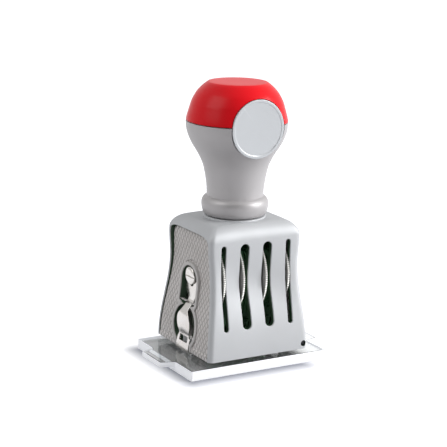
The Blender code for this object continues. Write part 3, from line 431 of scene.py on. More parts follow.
# the wheels' steel; its dark colour goes into the grooves and over the bevel as dirt and painted shade
wheelLook = {
    "colour": (0.96, 0.95, 0.92), "tarnish": (0.50, 0.47, 0.42), "stain": 0.3, "dirtAndShade": (0.05, 0.045, 0.04),
    "brush": (2600.0, 300.0, 300.0), "bump": 0.008 * mm, "rough": 0.45, "roughSwing": 0.08,
}
darkLook = {
    "colour": (0.035, 0.035, 0.038), "tarnish": (0.02, 0.02, 0.02), "stain": 0.3,
    "brush": (500.0, 500.0, 500.0), "bump": 0.004 * mm, "rough": 0.4, "roughSwing": 0.08,
}
brassLook = {
    "colour": (0.66, 0.47, 0.18), "tarnish": (0.45, 0.30, 0.10), "stain": 0.4,
    "brush": (200.0, 200.0, 2000.0), "bump": 0.005 * mm, "rough": 0.3, "roughSwing": 0.05,
}
rubberLook = {
    "colour": (0.085, 0.230, 0.105), "chalk": (0.12, 0.25, 0.13), "dust": 0.35,
    "grain": 1800.0, "clouds": 220.0, "bump": 0.03 * mm, "rough": 0.675, "roughSwing": 0.125,
}
acrylicLook = {
    "colour": (0.97, 0.985, 0.985), "deep": (0.94, 0.96, 0.965), "grain": 700.0, "clouds": 45.0,
    "smear": 0.05, "shadowPass": 0.15,
}

satinGrey = mouldedPlastic("satinGreyPlastic", shellLook, Metallic=0.25)
sideGrey = mouldedPlastic("sideGreyPlastic", sideLook, Metallic=0.1)
panelGrey = mouldedPlastic("nettedGreyPlastic", panelLook, netLook, Metallic=0.1)
handleGrey = mouldedPlastic("handleGreyPlastic", handleLook, Metallic=0.3)
bareShadePlastic = mouldedPlastic("bareGreenShadePlastic", bareShadeLook)
glossRed = mouldedPlastic("glossRedPlastic", capLook, IOR=1.4, Specular_IOR_Level=0.22)
badgeSilver = mouldedPlastic("badgeSilver", badgeLook, Metallic=0.3)
nickel = metal("nickelPlate", nickelLook)
wheelSteel = metal("wheelSteel", wheelLook, 0.4)
darkSteel = metal("darkSteel", darkLook)
brass = metal("turnedBrass", brassLook)
# the sawn edges' white comes partly from their colour and partly from a painted glow
sawnEdge = mouldedPlastic("sawnAcrylicEdge", sawnLook, IOR=1.45, Emission_Color=paintedEdgeGlow, Emission_Strength=0.3)
bandRubber = rubberMaterial("bandRubber", rubberLook)
clearAcrylic = acrylicMaterial("clearAcrylic", acrylicLook)
print("materials ready")

# Housing shell

shellLow, shellHigh = span("housing_shell")
shellBottom = shellLow[2]
shell = {
    "waistRise": 31.4 * mm,  # from the bottom edge up to the narrowest width
    "footFlare": 2.45 * mm,
    "shoulderFlare": 0.65 * mm,
    "shoulderRise": 42.4 * mm,  # from the bottom edge up to where the roof begins
    "footSpread": 4.2 * mm,
    "spreadDrop": 4.0 * mm,
    "dish": 1.6 * mm,
    "dishRise": 25.9 * mm,
    "dishReach": 9.0 * mm,
    "dishPower": 1.25,
    "wall": 2.0 * mm,
    "corner": 2.0 * mm,
    "crownPower": 3.0,
    "roofWall": 2.4 * mm,
    "flangeRise": 0.4 * mm,
    "flangeRoot": 0.5 * mm,
    "flangeRadius": 11.7 * mm,
    "flangeEdge": 0.25 * mm,
    "cutDepth": 6.0 * mm,
}
roofTop = shellHigh[2] - shell["flangeRise"]
ceiling = roofTop - shell["roofWall"]
outerForm = {"inset": 0.0, "bottom": shellBottom, "top": roofTop, "crownWide": 0.7 * mm, "crownDeep": 0.4 * mm,
             "fillet": 5.4 * mm, "rows": 64, "roofRows": 24, "steps": (9, 40, 14)}
cavityForm = {"inset": shell["wall"] * 1.02, "bottom": shellBottom - 3 * mm, "top": ceiling, "crownWide": 0.0,
              "crownDeep": 0.0, "fillet": 2.4 * mm, "rows": 30, "roofRows": 10, "steps": (5, 20, 8)}
sideOpening = {"rise": 5.4 * mm, "drop": 2.4 * mm, "power": 5.0, "edge": 0.4 * mm}
axleHeight = 33.5 * mm
slots = {
    "places": (-13.85 * mm, -4.85 * mm, 4.85 * mm, 13.85 * mm),
    "widths": (1.9 * mm, 3.65 * mm, 3.65 * mm, 1.9 * mm),
    "drop": 17.3 * mm,
    "rise": 14.4 * mm,
    "edge": 0.35 * mm,
}
pinHole = {"inset": 1.8 * mm, "rise": 2.0 * mm, "radius": 1.2 * mm, "edge": 0.15 * mm, "depth": 7.0 * mm}

shoulderHeight = shellBottom + shell["shoulderRise"]
waistHeight = shellBottom + shell["waistRise"]
waistHalf = shellHigh[0] - shell["footFlare"]
shoulderHalf = waistHalf + shell["shoulderFlare"]
shoulderDepth = shellHigh[1] - shell["footSpread"]
archTop = shoulderHeight - sideOpening["drop"] + sideOpening["rise"]
archSpring = archTop - sideOpening["rise"]


def ease(share):
    # half a cosine, from one down to zero
    return 0.5 * (1 + np.cos(np.pi * np.clip(share, 0, 1)))


def halfWidth(z):
    # flared foot, waist and fuller shoulder, each a half cosine
    low = waistHalf + shell["footFlare"] * ease((z - shellBottom) / (waistHeight - shellBottom))
    high = shoulderHalf - shell["shoulderFlare"] * ease((z - waistHeight) / (shoulderHeight - waistHeight))
    return np.where(z < waistHeight, low, high)


def halfDepth(z):
    # straight above, spread at the foot by a half cosine
    rise = shell["shoulderRise"] - shell["spreadDrop"]
    return shoulderDepth + shell["footSpread"] * ease((z - shellBottom) / rise)


def dishAt(z):
    # depth of the face's hollow, a bell curve over the height
    return shell["dish"] * np.exp(-((z - shellBottom - shell["dishRise"]) / shell["dishReach"]) ** 2)


def dishShare(share):
    # the hollow's depth over the width, from one at the middle to zero at the corners
    return (1 - share ** 2) ** shell["dishPower"]


def faceDepth(x, z):
    # distance of the front face from the middle: hollowed most at x = 0
    share = np.clip(np.abs(x) / (halfWidth(z) - shell["corner"]), 0, 1)
    return halfDepth(z) - dishAt(z) * dishShare(share)


def outlineTemplate(cornerSteps, flatSteps, sideSteps):
    # one outline as shares: of the half sides less the corner radius, of the corner radius, of the dish
    rows = []
    for turn, normal in ((270, (1, 0)), (0, (0, 1)), (90, (-1, 0)), (180, (0, -1))):
        normal = np.array(normal)
        tangent = np.array((-normal[1], normal[0]))
        angle = np.radians(np.linspace(turn, turn + 90, cornerSteps))
        rows.append(np.column_stack([np.tile(normal - tangent, (cornerSteps, 1)), np.cos(angle), np.sin(angle),
                                     np.zeros(cornerSteps)]))
        along = np.linspace(-1, 1, (flatSteps if normal[1] else sideSteps) + 2)[1:-1]
        rows.append(np.column_stack([normal + tangent * along[:, None], np.tile(normal, (len(along), 1)),
                                     abs(normal[1]) * dishShare(along)]))
    return np.vstack(rows)


def housingForm(name, form, mark=0):
    # waisted walls, a quarter circle of the fillet's radius, then rings that shrink to the middle of the roof
    inset, fillet, rows = form["inset"], form["fillet"], form["rows"]
    turnHeight = form["top"] - fillet - 0.5 * (form["crownWide"] + form["crownDeep"])
    angle = np.radians(np.linspace(0, 90, form["roofRows"] + 1)[1:])
    shrink = np.linspace(1, 0.004, form["roofRows"])[1:]
    flat = np.ones(len(shrink))
    heights = np.concatenate([np.linspace(form["bottom"], turnHeight, rows), turnHeight + fillet * np.sin(angle),
                              flat * (turnHeight + fillet)])[:, None]
    moved = np.concatenate([np.zeros(rows), fillet * (1 - np.cos(angle)), flat * fillet])[:, None]
    shrink = np.concatenate([np.ones(rows + form["roofRows"]), shrink])[:, None]
    wide = halfWidth(heights) - inset
    deep = halfDepth(heights) - inset
    corner = max(shell["corner"] - inset / 2, shell["corner"] / 2)
    shareX, shareY, roundX, roundY, hollow = outlineTemplate(*form["steps"]).T
    x = (shareX * (wide - corner) + roundX * corner) * (1 - moved / wide) * shrink
    y = shareY * (deep - corner) + roundY * corner - np.sign(shareY) * hollow * dishAt(heights)
    y = y * (1 - moved / deep) * shrink
    lift = np.clip((heights - turnHeight) / fillet, 0, 1)
    crown = form["crownWide"] * (0.5 - np.abs(x / wide) ** shell["crownPower"])
    crown = crown + form["crownDeep"] * (0.5 - np.abs(y / deep) ** shell["crownPower"])
    z = heights + lift * crown
    return skin(name, np.stack([x, y, z], -1), capped=True, rowMarks=[mark] * (len(heights) - 1))


def outwardNormals(outline):
    # unit normals of a closed path that runs anticlockwise
    along = np.roll(outline, -1, 0) - np.roll(outline, 1, 0)
    along /= np.linalg.norm(along, axis=1, keepdims=True)
    return np.column_stack([along[:, 1], -along[:, 0]])


def flaredCutter(name, outline, surface, fillet, deep, axis, side):
    # a prism whose mouth flares by a quarter circle onto the surface, so that the cut edge is rounded
    normals = outwardNormals(outline)
    angle = np.radians(np.array([0, 18, 36, 54, 72]))
    spread = np.concatenate([[0], fillet * (1 - np.cos(angle)), [fillet * (1 - np.cos(angle[-1]))]])
    depth = np.concatenate([[deep], fillet * (1 - np.sin(angle)), [-overrun]])
    u = outline[:, 0] + normals[:, 0] * spread[:, None]
    v = outline[:, 1] + normals[:, 1] * spread[:, None]
    level = side * (surface(u, v) - depth[:, None])
    order = (u, level, v) if axis == "Y" else (level, u, v)
    return skin(name, np.stack(order, -1), capped=True, rowMarks=[1] + [0] * (len(spread) - 2))


def stadium(centre, width, low, high):
    # slot outline in (x, z) with round ends, anticlockwise
    radius = width / 2
    upper = circle((centre, high - radius), radius, 0, 180, 17)
    lower = circle((centre, low + radius), radius, 180, 360, 17)
    left = np.linspace(upper[-1], lower[0], 30)[1:-1]
    right = np.linspace(lower[-1], upper[0], 30)[1:-1]
    return np.vstack([upper, left, lower, right])


def archRows(clearance, rows, archSteps):
    # height and half depth of the side opening: straight walls, then a superellipse arch
    heights = np.linspace(shellBottom, archSpring, rows)
    angle = np.radians(np.linspace(0, 90, archSteps + 1)[1:])
    power = 2 / sideOpening["power"]
    archHeights = archSpring + (archTop - clearance - archSpring) * np.sin(angle) ** power
    reach = halfDepth(archSpring) - shell["wall"] - clearance
    archDepths = reach * np.clip(np.cos(angle), 0, 1) ** power
    depths = halfDepth(heights) - shell["wall"] - clearance
    return np.concatenate([heights, archHeights]), np.concatenate([depths, archDepths])


def makeShell():
    # the outer form less its cavity, the two side openings, the slots and the pin's hole, and a flange on top
    outer = housingForm("housingShell", outerForm)
    cutters = [housingForm("cavityForm", cavityForm, mark=1)]
    heights, depths = archRows(0.0, 40, 24)
    heights[0] = cavityForm["bottom"]
    right = np.column_stack([depths, heights])
    opening = np.vstack([right, (right[:-1] * (-1, 1))[::-1]])
    for side in (-1, 1):
        cutters.append(flaredCutter("sideForm", opening, lambda y, z: halfWidth(z), sideOpening["edge"],
                                    shell["cutDepth"], "X", side))
    for centre, width in zip(slots["places"], slots["widths"]):
        slot = stadium(centre, width, axleHeight - slots["drop"], axleHeight + slots["rise"])
        for side in (-1, 1):
            cutters.append(flaredCutter("slotForm", slot, faceDepth, slots["edge"], shell["cutDepth"], "Y", side))
    centre = (shellHigh[0] - pinHole["inset"], shellBottom + pinHole["rise"])
    hole = circle(centre, pinHole["radius"], 0, 360, 33)[:-1]
    cutters.append(flaredCutter("pinForm", hole, lambda x, z: halfDepth(z), pinHole["edge"], pinHole["depth"],
                                "Y", -1))
    # the inside and the cut walls take the dark bare plastic, also a painted shade in the slots and holes
    for form in [outer] + cutters:
        dress(form, satinGrey, bareShadePlastic)
    carve(outer, cutters, 32)
    finish(outer, "satin_grey", satinGrey, bareShadePlastic, stands=("housing_shell",))
    root, radius = ceiling + shell["flangeRoot"], shell["flangeRadius"]
    flange = turned("roofFlange", rounded([(0, root), (radius, root), (radius, shellHigh[2]), (0, shellHigh[2])],
                                          shell["flangeEdge"]))
    finish(flange, "satin_grey", satinGrey)


makeShell()
print("housing shell ready")

# Handle: collar and grip, cap, badge

handle = {
    "segments": 160,
    "collarRadius": 12.6 * mm,
    "collarHeight": 7.1 * mm,
    "collarRows": ((0.00, 0.860), (0.06, 0.920), (0.16, 0.955), (0.34, 0.985), (0.59, 1.000), (0.80, 0.978),
                   (0.93, 0.925)),
    "gripRadius": 19.0 * mm,
    "gripHeight": 28.3 * mm,
    "gripRows": ((0.000, 0.560), (0.075, 0.565), (0.149, 0.574), (0.284, 0.605), (0.426, 0.658), (0.560, 0.753),
                 (0.699, 0.879), (0.780, 0.937), (0.837, 0.968), (0.904, 0.992), (1.000, 1.000)),
    "capHeight": 14.5 * mm,
    "capRows": ((0.000, 1.000), (0.110, 0.985), (0.214, 0.963), (0.350, 0.932), (0.483, 0.900), (0.620, 0.850),
                (0.745, 0.789), (0.870, 0.700), (0.965, 0.612), (1.000, 0.575)),
    "capTopEdge": 3.0 * mm,
    "lipInset": 1.3 * mm,
    "lipHeight": 0.9 * mm,
    "lipDraft": 0.02 * mm,
    "edge": 0.18 * mm,
    "boreRadius": 3.8 * mm,
    "boreDepth": 14.3 * mm,
    "boreEdge": 0.2 * mm,
    "badgeRim": 1.0 * mm,
    "badgeSlope": 0.15 * mm,
    "badgeSink": 0.12 * mm,
    "badgeEdge": 0.16 * mm,
    "pocketReach": 3.0 * mm,
}


def scaledRows(rows, radius, low, height):
    # profile points from shares of a height and of a radius
    return np.array([(share * radius, low + up * height) for up, share in rows])


def makeHandle():
    # the grip's body and the cap are turned profiles that meet at a lip, each with the badge's flat cut in
    collarBottom = span("handle_knob")[0][2]
    neckHeight = collarBottom + handle["collarHeight"]
    splitHeight = neckHeight + handle["gripHeight"]
    radius, edge, lipHeight = handle["gripRadius"], handle["edge"], handle["lipHeight"]
    lip = radius - handle["lipInset"]
    shy = radius - handle["lipDraft"]
    seat = splitHeight - fitGap / 2
    collar = scaledRows(handle["collarRows"], handle["collarRadius"], collarBottom, handle["collarHeight"])
    grip = scaledRows(handle["gripRows"], radius, neckHeight, handle["gripHeight"])
    grip[-1] = (radius, seat - edge)
    bore, boreTop = handle["boreRadius"], collarBottom + handle["boreDepth"]
    start = rounded([(0, boreTop), (bore, boreTop), (bore, collarBottom), collar[0]], handle["boreEdge"])
    end = rounded([grip[-1], (shy, seat), (lip, seat), (lip, seat + lipHeight), (0, seat + lipHeight)], edge)
    profile = np.vstack([start[:-1], fair(collar, 40), fair(grip, 90)[:-1], end])
    body = turned("gripBody", profile, segments=handle["segments"])

    bottom = splitHeight + fitGap / 2
    top = span("knob_cap")[1][2]
    crown = scaledRows(handle["capRows"], radius, splitHeight, handle["capHeight"])
    crown[0] = (radius, bottom + edge)
    skirt = rounded([(0, bottom + lipHeight), (lip + fitGap, bottom + lipHeight), (lip + fitGap, bottom),
                     (shy, bottom), crown[0]], edge)
    flat = rounded([crown[-2], (crown[-1][0], top), (0, top)], handle["capTopEdge"], 10)
    profile = np.vstack([skirt[:-1], fair(crown, 70)[:-10], flat[2:]])
    cap = turned("palmCap", profile, segments=handle["segments"])

    badgeLow, badgeHigh = span("label_disc")
    front, back = badgeLow[1], badgeHigh[1]
    centre = (0, 0, (badgeLow[2] + badgeHigh[2]) / 2)
    badgeRadius = (badgeHigh[0] - badgeLow[0]) / 2
    wide, floor, mouth = badgeRadius + fitGap, back + fitGap, -radius - handle["pocketReach"]
    for piece in (body, cap):
        pocket = [(0, floor), (wide, floor), (wide, mouth), (0, mouth)]
        carve(piece, [turned("pocketForm", pocket, centre, "Y", handle["segments"])], 32)
    finish(body, "satin_grey", handleGrey, stands=("handle_knob",))
    finish(cap, "red_gloss", glossRed, stands=("knob_cap",))

    rim = badgeRadius - handle["badgeRim"]
    sunk = front + handle["badgeSink"]
    profile = rounded([(0, back), (badgeRadius, back), (badgeRadius, front), (rim, front),
                       (rim - handle["badgeSlope"], sunk), (0, sunk)], handle["badgeEdge"])
    badge = turned("roundBadge", profile, centre, "Y", handle["segments"])
    finish(badge, "badge", badgeSilver, stands=("label_disc",))


makeHandle()
print("handle ready")

# Thumb wheels

wheel = {
    "teeth": 150,
    "toothDepth": 0.28 * mm,
    "toothFade": 0.5 * mm,
    "thickness": 1.2 * mm,
    "drumRadius": 11.0 * mm,
    "boreRadius": 1.8 * mm,
    "hubWide": 3.0 * mm,
    "hubSlope": 0.4 * mm,
    "bevelWide": 0.56 * mm,
    "bevelTall": 1.5 * mm,
    "edge": 0.12 * mm,
    "faceSink": 0.22 * mm,
    "rimWidth": 2.4 * mm,
    "rimBand": 0.5 * mm,  # points of the CAD disc this close to its edge give the disc's place
    "crestTall": 0.2 * mm,
    # darkness in the knurl's grooves (dirt and painted shade) and over the rim's bevel (painted shade)
    "grooveDirtAndShade": 0.7,
    "bevelShade": 0.82,
}


def makeWheel(label):
    # a closed cross-section turned about the axle; the rim's radius follows a wave with one crest a tooth
    node = f"thumb_wheel_{label}"
    low, high = span(node)
    radius = (high[1] - low[1]) / 2
    half = wheel["thickness"] / 2
    points = np.array([vertex.co for vertex in nodes[node].data.vertices])
    rimX = points[np.hypot(points[:, 1], points[:, 2] - axleHeight) > radius - wheel["rimBand"]][:, 0]
    disc = (rimX.min() + rimX.max()) / 2
    left, right = low[0] - disc, high[0] - disc
    bore, drum = wheel["boreRadius"], wheel["drumRadius"]
    hub = bore + wheel["hubWide"]
    land = radius - wheel["rimWidth"]
    sunk = -half + wheel["faceSink"]
    rim = [(radius - wheel["bevelTall"], -half), (radius, -half + wheel["bevelWide"]), (radius, half)]
    if right > -left:  # the drum stands on the right face
        start = [(bore, -half), (hub, -half), (hub + wheel["hubSlope"], sunk), (land - wheel["hubSlope"], sunk),
                 (land, -half)]
        end = [(drum, half), (drum, right), (bore, right)]
    else:
        start = [(bore, left), (drum, left), (drum, -half)]
        end = [(land, half), (bore, half)]
    profile = rounded(start + rim + end, wheel["edge"], 3, closed=True)
    after = 4 * (len(start) + 1)
    profile = np.vstack([profile[:after], np.linspace(rim[0], rim[1], 8)[2:-2], profile[after:]])
    turns = np.linspace(0, 2 * math.pi, wheel["teeth"] * 4, endpoint=False)
    wave = 0.5 - 0.5 * np.cos(turns * wheel["teeth"])
    depth = np.clip((profile[:, :1] - rim[0][0]) / wheel["toothFade"], 0, 1)
    r = profile[:, :1] - wheel["toothDepth"] * depth * wave
    grid = np.stack([np.broadcast_to(profile[:, 1:] + disc, r.shape), r * np.cos(turns),
                     axleHeight + r * np.sin(turns)], -1)
    piece = skin(f"wheel_{label}", grid, closeRows=True, sharpAngle=60)
    # painted shade over the bevel, and dirt and painted shade in the grooves between the teeth
    bevel = profile[:, :1] < radius - wheel["crestTall"]
    dirtAndShade = np.maximum(wheel["grooveDirtAndShade"] * wave ** 2, wheel["bevelShade"] * bevel)
    groove = piece.data.attributes.new("groove", "FLOAT", "POINT")
    groove.data.foreach_set("value", dirtAndShade.astype(np.float32).ravel())
    finish(piece, "wheel_steel", wheelSteel, body=f"wheel_{label}", stands=(node,))


dates = {
    "month": [str(n) for n in range(1, 13)],
    "day_tens": ["1", "2", "3", "0"],
    "day_units": [str(n) for n in range(10)],
    "year": [str(n) for n in range(20, 34)],
}
for label in dates:
    makeWheel(label)
print("wheels ready")

# Side plates with their keyholes

sidePlate = {
    "inner": 15.75 * mm,
    "recessFoot": 0.4 * mm,
    "recessTop": 1.7 * mm,
    "stripHeight": 1.8 * mm,
    "stripRise": 0.3 * mm,
    "stripEdge": 0.2 * mm,
    "thickness": 1.4 * mm,
    "relief": 0.34 * mm,
    "cushionPower": 0.6,
    "bareEdge": 0.6 * mm,
    "bezelFade": 0.5 * mm,  # lengths over which the lozenges die away
    "stripFade": 0.3 * mm,
    "edgeFade": 0.4 * mm,
    "edge": 0.35 * mm,
    "grooveWide": 0.5 * mm,
    "grooveDeep": 0.35 * mm,
    "underBezel": 0.4 * mm,
    "steps": 230,
    "archSteps": 60,
}
keyhole = {
    "half": 5.8 * mm,
    "archHeight": 31.6 * mm,
    "ledge": 23.2 * mm,
    "neckHalf": 2.7 * mm,
    "neckBottom": 21.5 * mm,
    "roundRadius": 8.0 * mm,
    "roundHeight": 14.5 * mm,
    "footHalf": 5.1 * mm,
    "footDrop": 10.0 * mm,
    "overlap": 0.5 * mm,
    "ledgeEdge": 0.3 * mm,
}
bezel = {**keyhole, "half": 7.2 * mm, "neckHalf": 6.2 * mm, "roundRadius": 9.4 * mm, "footHalf": 6.3 * mm,
         "edge": 0.14}


def ramp(value, start, length):
    # zero up to start, then a straight rise to one
    return np.clip((value - start) / length, 0, 1)


def boxDistance(y, z, half, low, high):
    # signed distance to an upright rectangle centred on y = 0
    dy = np.abs(y) - half
    dz = np.abs(z - (low + high) / 2) - (high - low) / 2
    return np.hypot(np.maximum(dy, 0), np.maximum(dz, 0)) + np.minimum(np.maximum(dy, dz), 0)


def keyDistance(y, z, form):
    # signed distance to a keyhole: arch, shaft, neck, round and foot joined
    return np.minimum.reduce((
        np.hypot(y, z - form["archHeight"]) - form["half"],
        boxDistance(y, z, form["half"], form["ledge"], form["archHeight"]),
        boxDistance(y, z, form["neckHalf"], form["roundHeight"], form["ledge"] + form["overlap"]),
        np.hypot(y, z - form["roundHeight"]) - form["roundRadius"],
        boxDistance(y, z, form["footHalf"], -form["footDrop"], form["roundHeight"]),
    ))


def keyOutline(form):
    # the keyhole's right half from the arch's crown down to the foot, mirrored: an open path of (y, z)
    topAngle = math.degrees(math.acos(form["neckHalf"] / form["roundRadius"]))
    footAngle = -math.degrees(math.acos(form["footHalf"] / form["roundRadius"]))
    arch = circle((0, form["archHeight"]), form["half"], 90, 0, 24)
    shaft = rounded([arch[-1], (form["half"], form["ledge"]), (form["neckHalf"], form["neckBottom"])],
                    form["ledgeEdge"])
    ring = circle((0, form["roundHeight"]), form["roundRadius"], topAngle, footAngle, 36)
    shaftTop = np.linspace(arch[-1], shaft[1], 10)[:-1]
    foot = np.linspace(ring[-1], (form["footHalf"], shellBottom), 8)[1:]
    right = np.vstack([arch[:-1], shaftTop, shaft[1:-1], ring, foot])
    return np.vstack([right[::-1], (right * (-1, 1))[1:]])


def makeSidePlate(name, side):
    # a sheet x = shell width - recess + relief over (y, z), without the faces that the bezel covers
    heights, depths = archRows(fitGap, sidePlate["steps"], sidePlate["archSteps"])
    share = np.linspace(-1, 1, sidePlate["steps"])
    y = depths[:, None] * share
    z = np.broadcast_to(heights[:, None], y.shape)
    rise = (z - shellBottom) / shell["shoulderRise"]
    u = y / netLook["wide"] + z / netLook["tall"]
    v = y / netLook["wide"] - z / netLook["tall"]
    power = sidePlate["cushionPower"]
    cushion = (2 * np.abs(u - np.round(u))) ** power * (2 * np.abs(v - np.round(v))) ** power
    away = keyDistance(y, z, bezel)
    edgeAway = np.minimum((1 - np.abs(share)) * depths[:, None], archTop - z)
    stripTop = shellBottom + sidePlate["stripHeight"]
    cushion = cushion * ramp(away, sidePlate["grooveWide"], sidePlate["bezelFade"])
    cushion = cushion * ramp(z, stripTop + sidePlate["stripFade"], sidePlate["stripFade"])
    cushion = cushion * ramp(edgeAway, sidePlate["bareEdge"], sidePlate["edgeFade"])
    strip = 1 - ramp(z, stripTop, sidePlate["stripEdge"])
    groove = np.clip(1 - np.abs(away - sidePlate["grooveWide"] / 2) / (sidePlate["grooveWide"] / 2), 0, 1)
    curl = 1 - ramp(edgeAway, 0, sidePlate["edge"])
    x = halfWidth(z) - sidePlate["recessFoot"] - (sidePlate["recessTop"] - sidePlate["recessFoot"]) * rise ** 2
    x = x + sidePlate["relief"] * cushion + sidePlate["stripRise"] * strip
    x = x - sidePlate["grooveDeep"] * np.minimum(groove * 2, 1) - sidePlate["edge"] * (1 - np.sqrt(1 - curl ** 2))
    quads = gridQuads(*x.shape, False, False)
    quads = quads[away.reshape(-1)[quads].mean(1) > -sidePlate["underBezel"]]
    if side < 0:
        quads = quads[:, ::-1]
    points = np.stack([side * x, y, z], -1).reshape(-1, 3)
    piece = makeMesh(name, points, quads, outward=False, sharpAngle=60)
    reworked(piece.data, dropLoose)
    thick = piece.modifiers.new("thickness", "SOLIDIFY")
    thick.thickness = sidePlate["thickness"]
    thick.offset = -1
    return piece


def makeBezel(name, side):
    # a rounded section carried round the keyhole, from its wall out to the bezel's outer edge
    inner = keyOutline(keyhole)
    outer = keyOutline(bezel)
    edge = bezel["edge"]
    half = np.array([(0, 3.2), (0, 0.4), (edge * 0.1, 0.16), (edge * 0.35, 0.04), (edge, 0)])
    section = np.vstack([half, ((1, 0) + half * (-1, 1))[::-1]])
    path = inner[:, None] + (outer - inner)[:, None] * section[None, :, :1]
    y, z = path[..., 0], path[..., 1]
    x = np.maximum(halfWidth(z) - section[:, 1] * mm, sidePlate["inner"])
    marks = [1] + [0] * (len(section) - 2) + [1]  # the walls take the dark bare plastic, which also stands as painted shade in the keyhole; the face has the silver paint
    return skin(name, np.stack([side * x, y, z], -1), capped=True, sharpAngle=40, columnMarks=marks)


for label, side in sides:
    panel = makeSidePlate(f"sidePanel_{label}", side)
    finish(panel, "textured_grey", panelGrey, stands=(f"side_plate_{label}",))
    finish(makeBezel(f"keyholeBezel_{label}", side), "textured_grey", sideGrey, bareShadePlastic)
print("side plates ready")

# Spring clips of the die plate, and their rivets

clip = {
    "strip": 0.5 * mm,
    "sectionEdge": 0.16 * mm,
    "bend": 0.75 * mm,
    "flangeLength": 4.4 * mm,
    "halfWidth": 4.6 * mm,
    "tongueInner": 17.3 * mm,
    "tongueGap": 0.4 * mm,
    "forkDepth": 7.2 * mm,
    "forkHalf": 1.6 * mm,
    "holeHalf": 3.0 * mm,
    "holeLow": 8.2 * mm,
    "holeHigh": 10.6 * mm,
    "holeEdge": 0.4 * mm,
    "forkReach": 1.2 * mm,  # how far past the tongue's middle the fork's cut goes, and where the window's starts
    "holeReach": 0.6 * mm,
    "padBulge": 0.35 * mm,
    "padHeight": 16.0 * mm,
    "padReach": 3.4 * mm,
    "padHalf": 4.8 * mm,
    # shares of the height, of the way out and of the half width
    "rows": ((0.035, 1.000, 1.00), (0.145, 0.800, 1.00), (0.175, 0.770, 0.88), (0.210, 0.775, 0.80),
             (0.255, 0.830, 0.92), (0.300, 0.870, 1.00), (0.350, 0.890, 1.02), (0.400, 0.880, 0.98),
             (0.440, 0.850, 0.84), (0.475, 0.800, 0.62), (0.505, 0.700, 0.48), (0.545, 0.420, 0.47),
             (0.585, 0.150, 0.47), (0.630, 0.020, 0.52), (0.700, 0.000, 0.84), (0.760, 0.000, 0.90),
             (1.000, 0.000, 0.90)),
}
rivet = {"shank": 0.8 * mm, "head": 1.4 * mm, "headHeight": 0.4 * mm, "shoulder": 0.25 * mm, "edge": 0.2 * mm,
         "shoulderShare": 0.92, "crownShare": 0.5}


def makeClip(label, side):
    # a rounded strip section carried along a bent path, its width following the path's third column
    low, high = span(f"plate_clip_{label}")
    half, strip, top = clip["halfWidth"], clip["strip"], high[2]
    footX = max(abs(low[0]), abs(high[0]))
    flangeHeight = low[2] + strip / 2
    inner = clip["tongueInner"]
    middle = inner + strip / 2
    start = np.array([(footX - clip["flangeLength"], flangeHeight, half),
                      (footX - strip / 2 - clip["bend"], flangeHeight, half)])
    reach = (footX - strip / 2 - middle, top - flangeHeight, half)
    rows = (middle, flangeHeight, 0) + np.array(clip["rows"])[:, [1, 0, 2]] * reach
    path = np.vstack([np.linspace(start[0], start[1], 6)[:-1], fair(np.vstack([start[1:], rows]), 120)])
    arch = keyhole["half"] - clip["tongueGap"]
    above = np.maximum(path[:, 1] - keyhole["archHeight"], 0)
    path[:, 2] = np.minimum(path[:, 2], np.sqrt(arch ** 2 - above ** 2))
    along = np.gradient(path[:, :2], axis=0)
    along /= np.linalg.norm(along, axis=1, keepdims=True)
    edge = clip["sectionEdge"]
    quarter = circle((0, 0), 1, 0, 90, 5) * edge
    flat = strip / 2 - edge
    thick = np.concatenate([flat + quarter[::-1, 1], -flat - quarter[:, 1], -flat - quarter[::-1, 1],
                            flat + quarter[:, 1]])
    shrink = np.tile(np.concatenate([quarter[::-1, 0], quarter[:, 0]]), 2) - edge
    x = path[:, :1] - along[:, 1:] * thick
    z = path[:, 1:2] + along[:, :1] * thick
    y = np.repeat([1, 1, -1, -1], 5) * (path[:, 2:] + shrink)
    bell = np.exp(-((path[:, 1:2] - clip["padHeight"]) / clip["padReach"]) ** 4)
    x = x + clip["padBulge"] * bell * (1 - (y / clip["padHalf"]) ** 2)
    piece = skin(f"springClip_{label}", np.stack([side * x, y, z], -1), capped=True, sharpAngle=40)
    forkHalf, holeHalf, holeLow, holeHigh = (clip[key] for key in ("forkHalf", "holeHalf", "holeLow", "holeHigh"))
    forkRound = circle((0, top - clip["forkDepth"] + forkHalf), forkHalf, 180, 360, 17)
    fork = np.vstack([forkRound, [(forkHalf, top + overrun), (-forkHalf, top + overrun)]])
    window = rounded([(-holeHalf, holeLow), (holeHalf, holeLow), (holeHalf, holeHigh), (-holeHalf, holeHigh)],
                     clip["holeEdge"], closed=True)
    carve(piece, [prismX("forkForm", fork, side * (inner - overrun), side * (middle + clip["forkReach"])),
                  prismX("windowForm", window, side * (middle + clip["holeReach"]),
                         side * (footX + overrun))], 40)
    finish(piece, "nickel", nickel, body=f"clip_{label}", stands=(f"plate_clip_{label}",))


def makeRivet(label):
    # a shank under a low domed head
    low, high = span(f"clip_rivet_{label}")
    centre = (low + high) / 2
    shank, head = rivet["shank"], rivet["head"]
    headLow = high[2] - rivet["headHeight"]
    profile = rounded([(0, low[2]), (shank, low[2]), (shank, headLow), (head, headLow),
                       (head * rivet["shoulderShare"], headLow + rivet["shoulder"]),
                       (head * rivet["crownShare"], high[2]), (0, high[2])], rivet["edge"])
    piece = turned(f"rivet_{label}", profile, (centre[0], centre[1], 0), segments=32)
    finish(piece, "nickel", nickel, body="plate", stands=(f"clip_rivet_{label}",))


for label, side in sides:
    makeClip(label, side)
for label in ("left_front", "left_rear", "right_front", "right_rear"):
    makeRivet(label)
print("clips ready")

# Axle screws and the corner pin

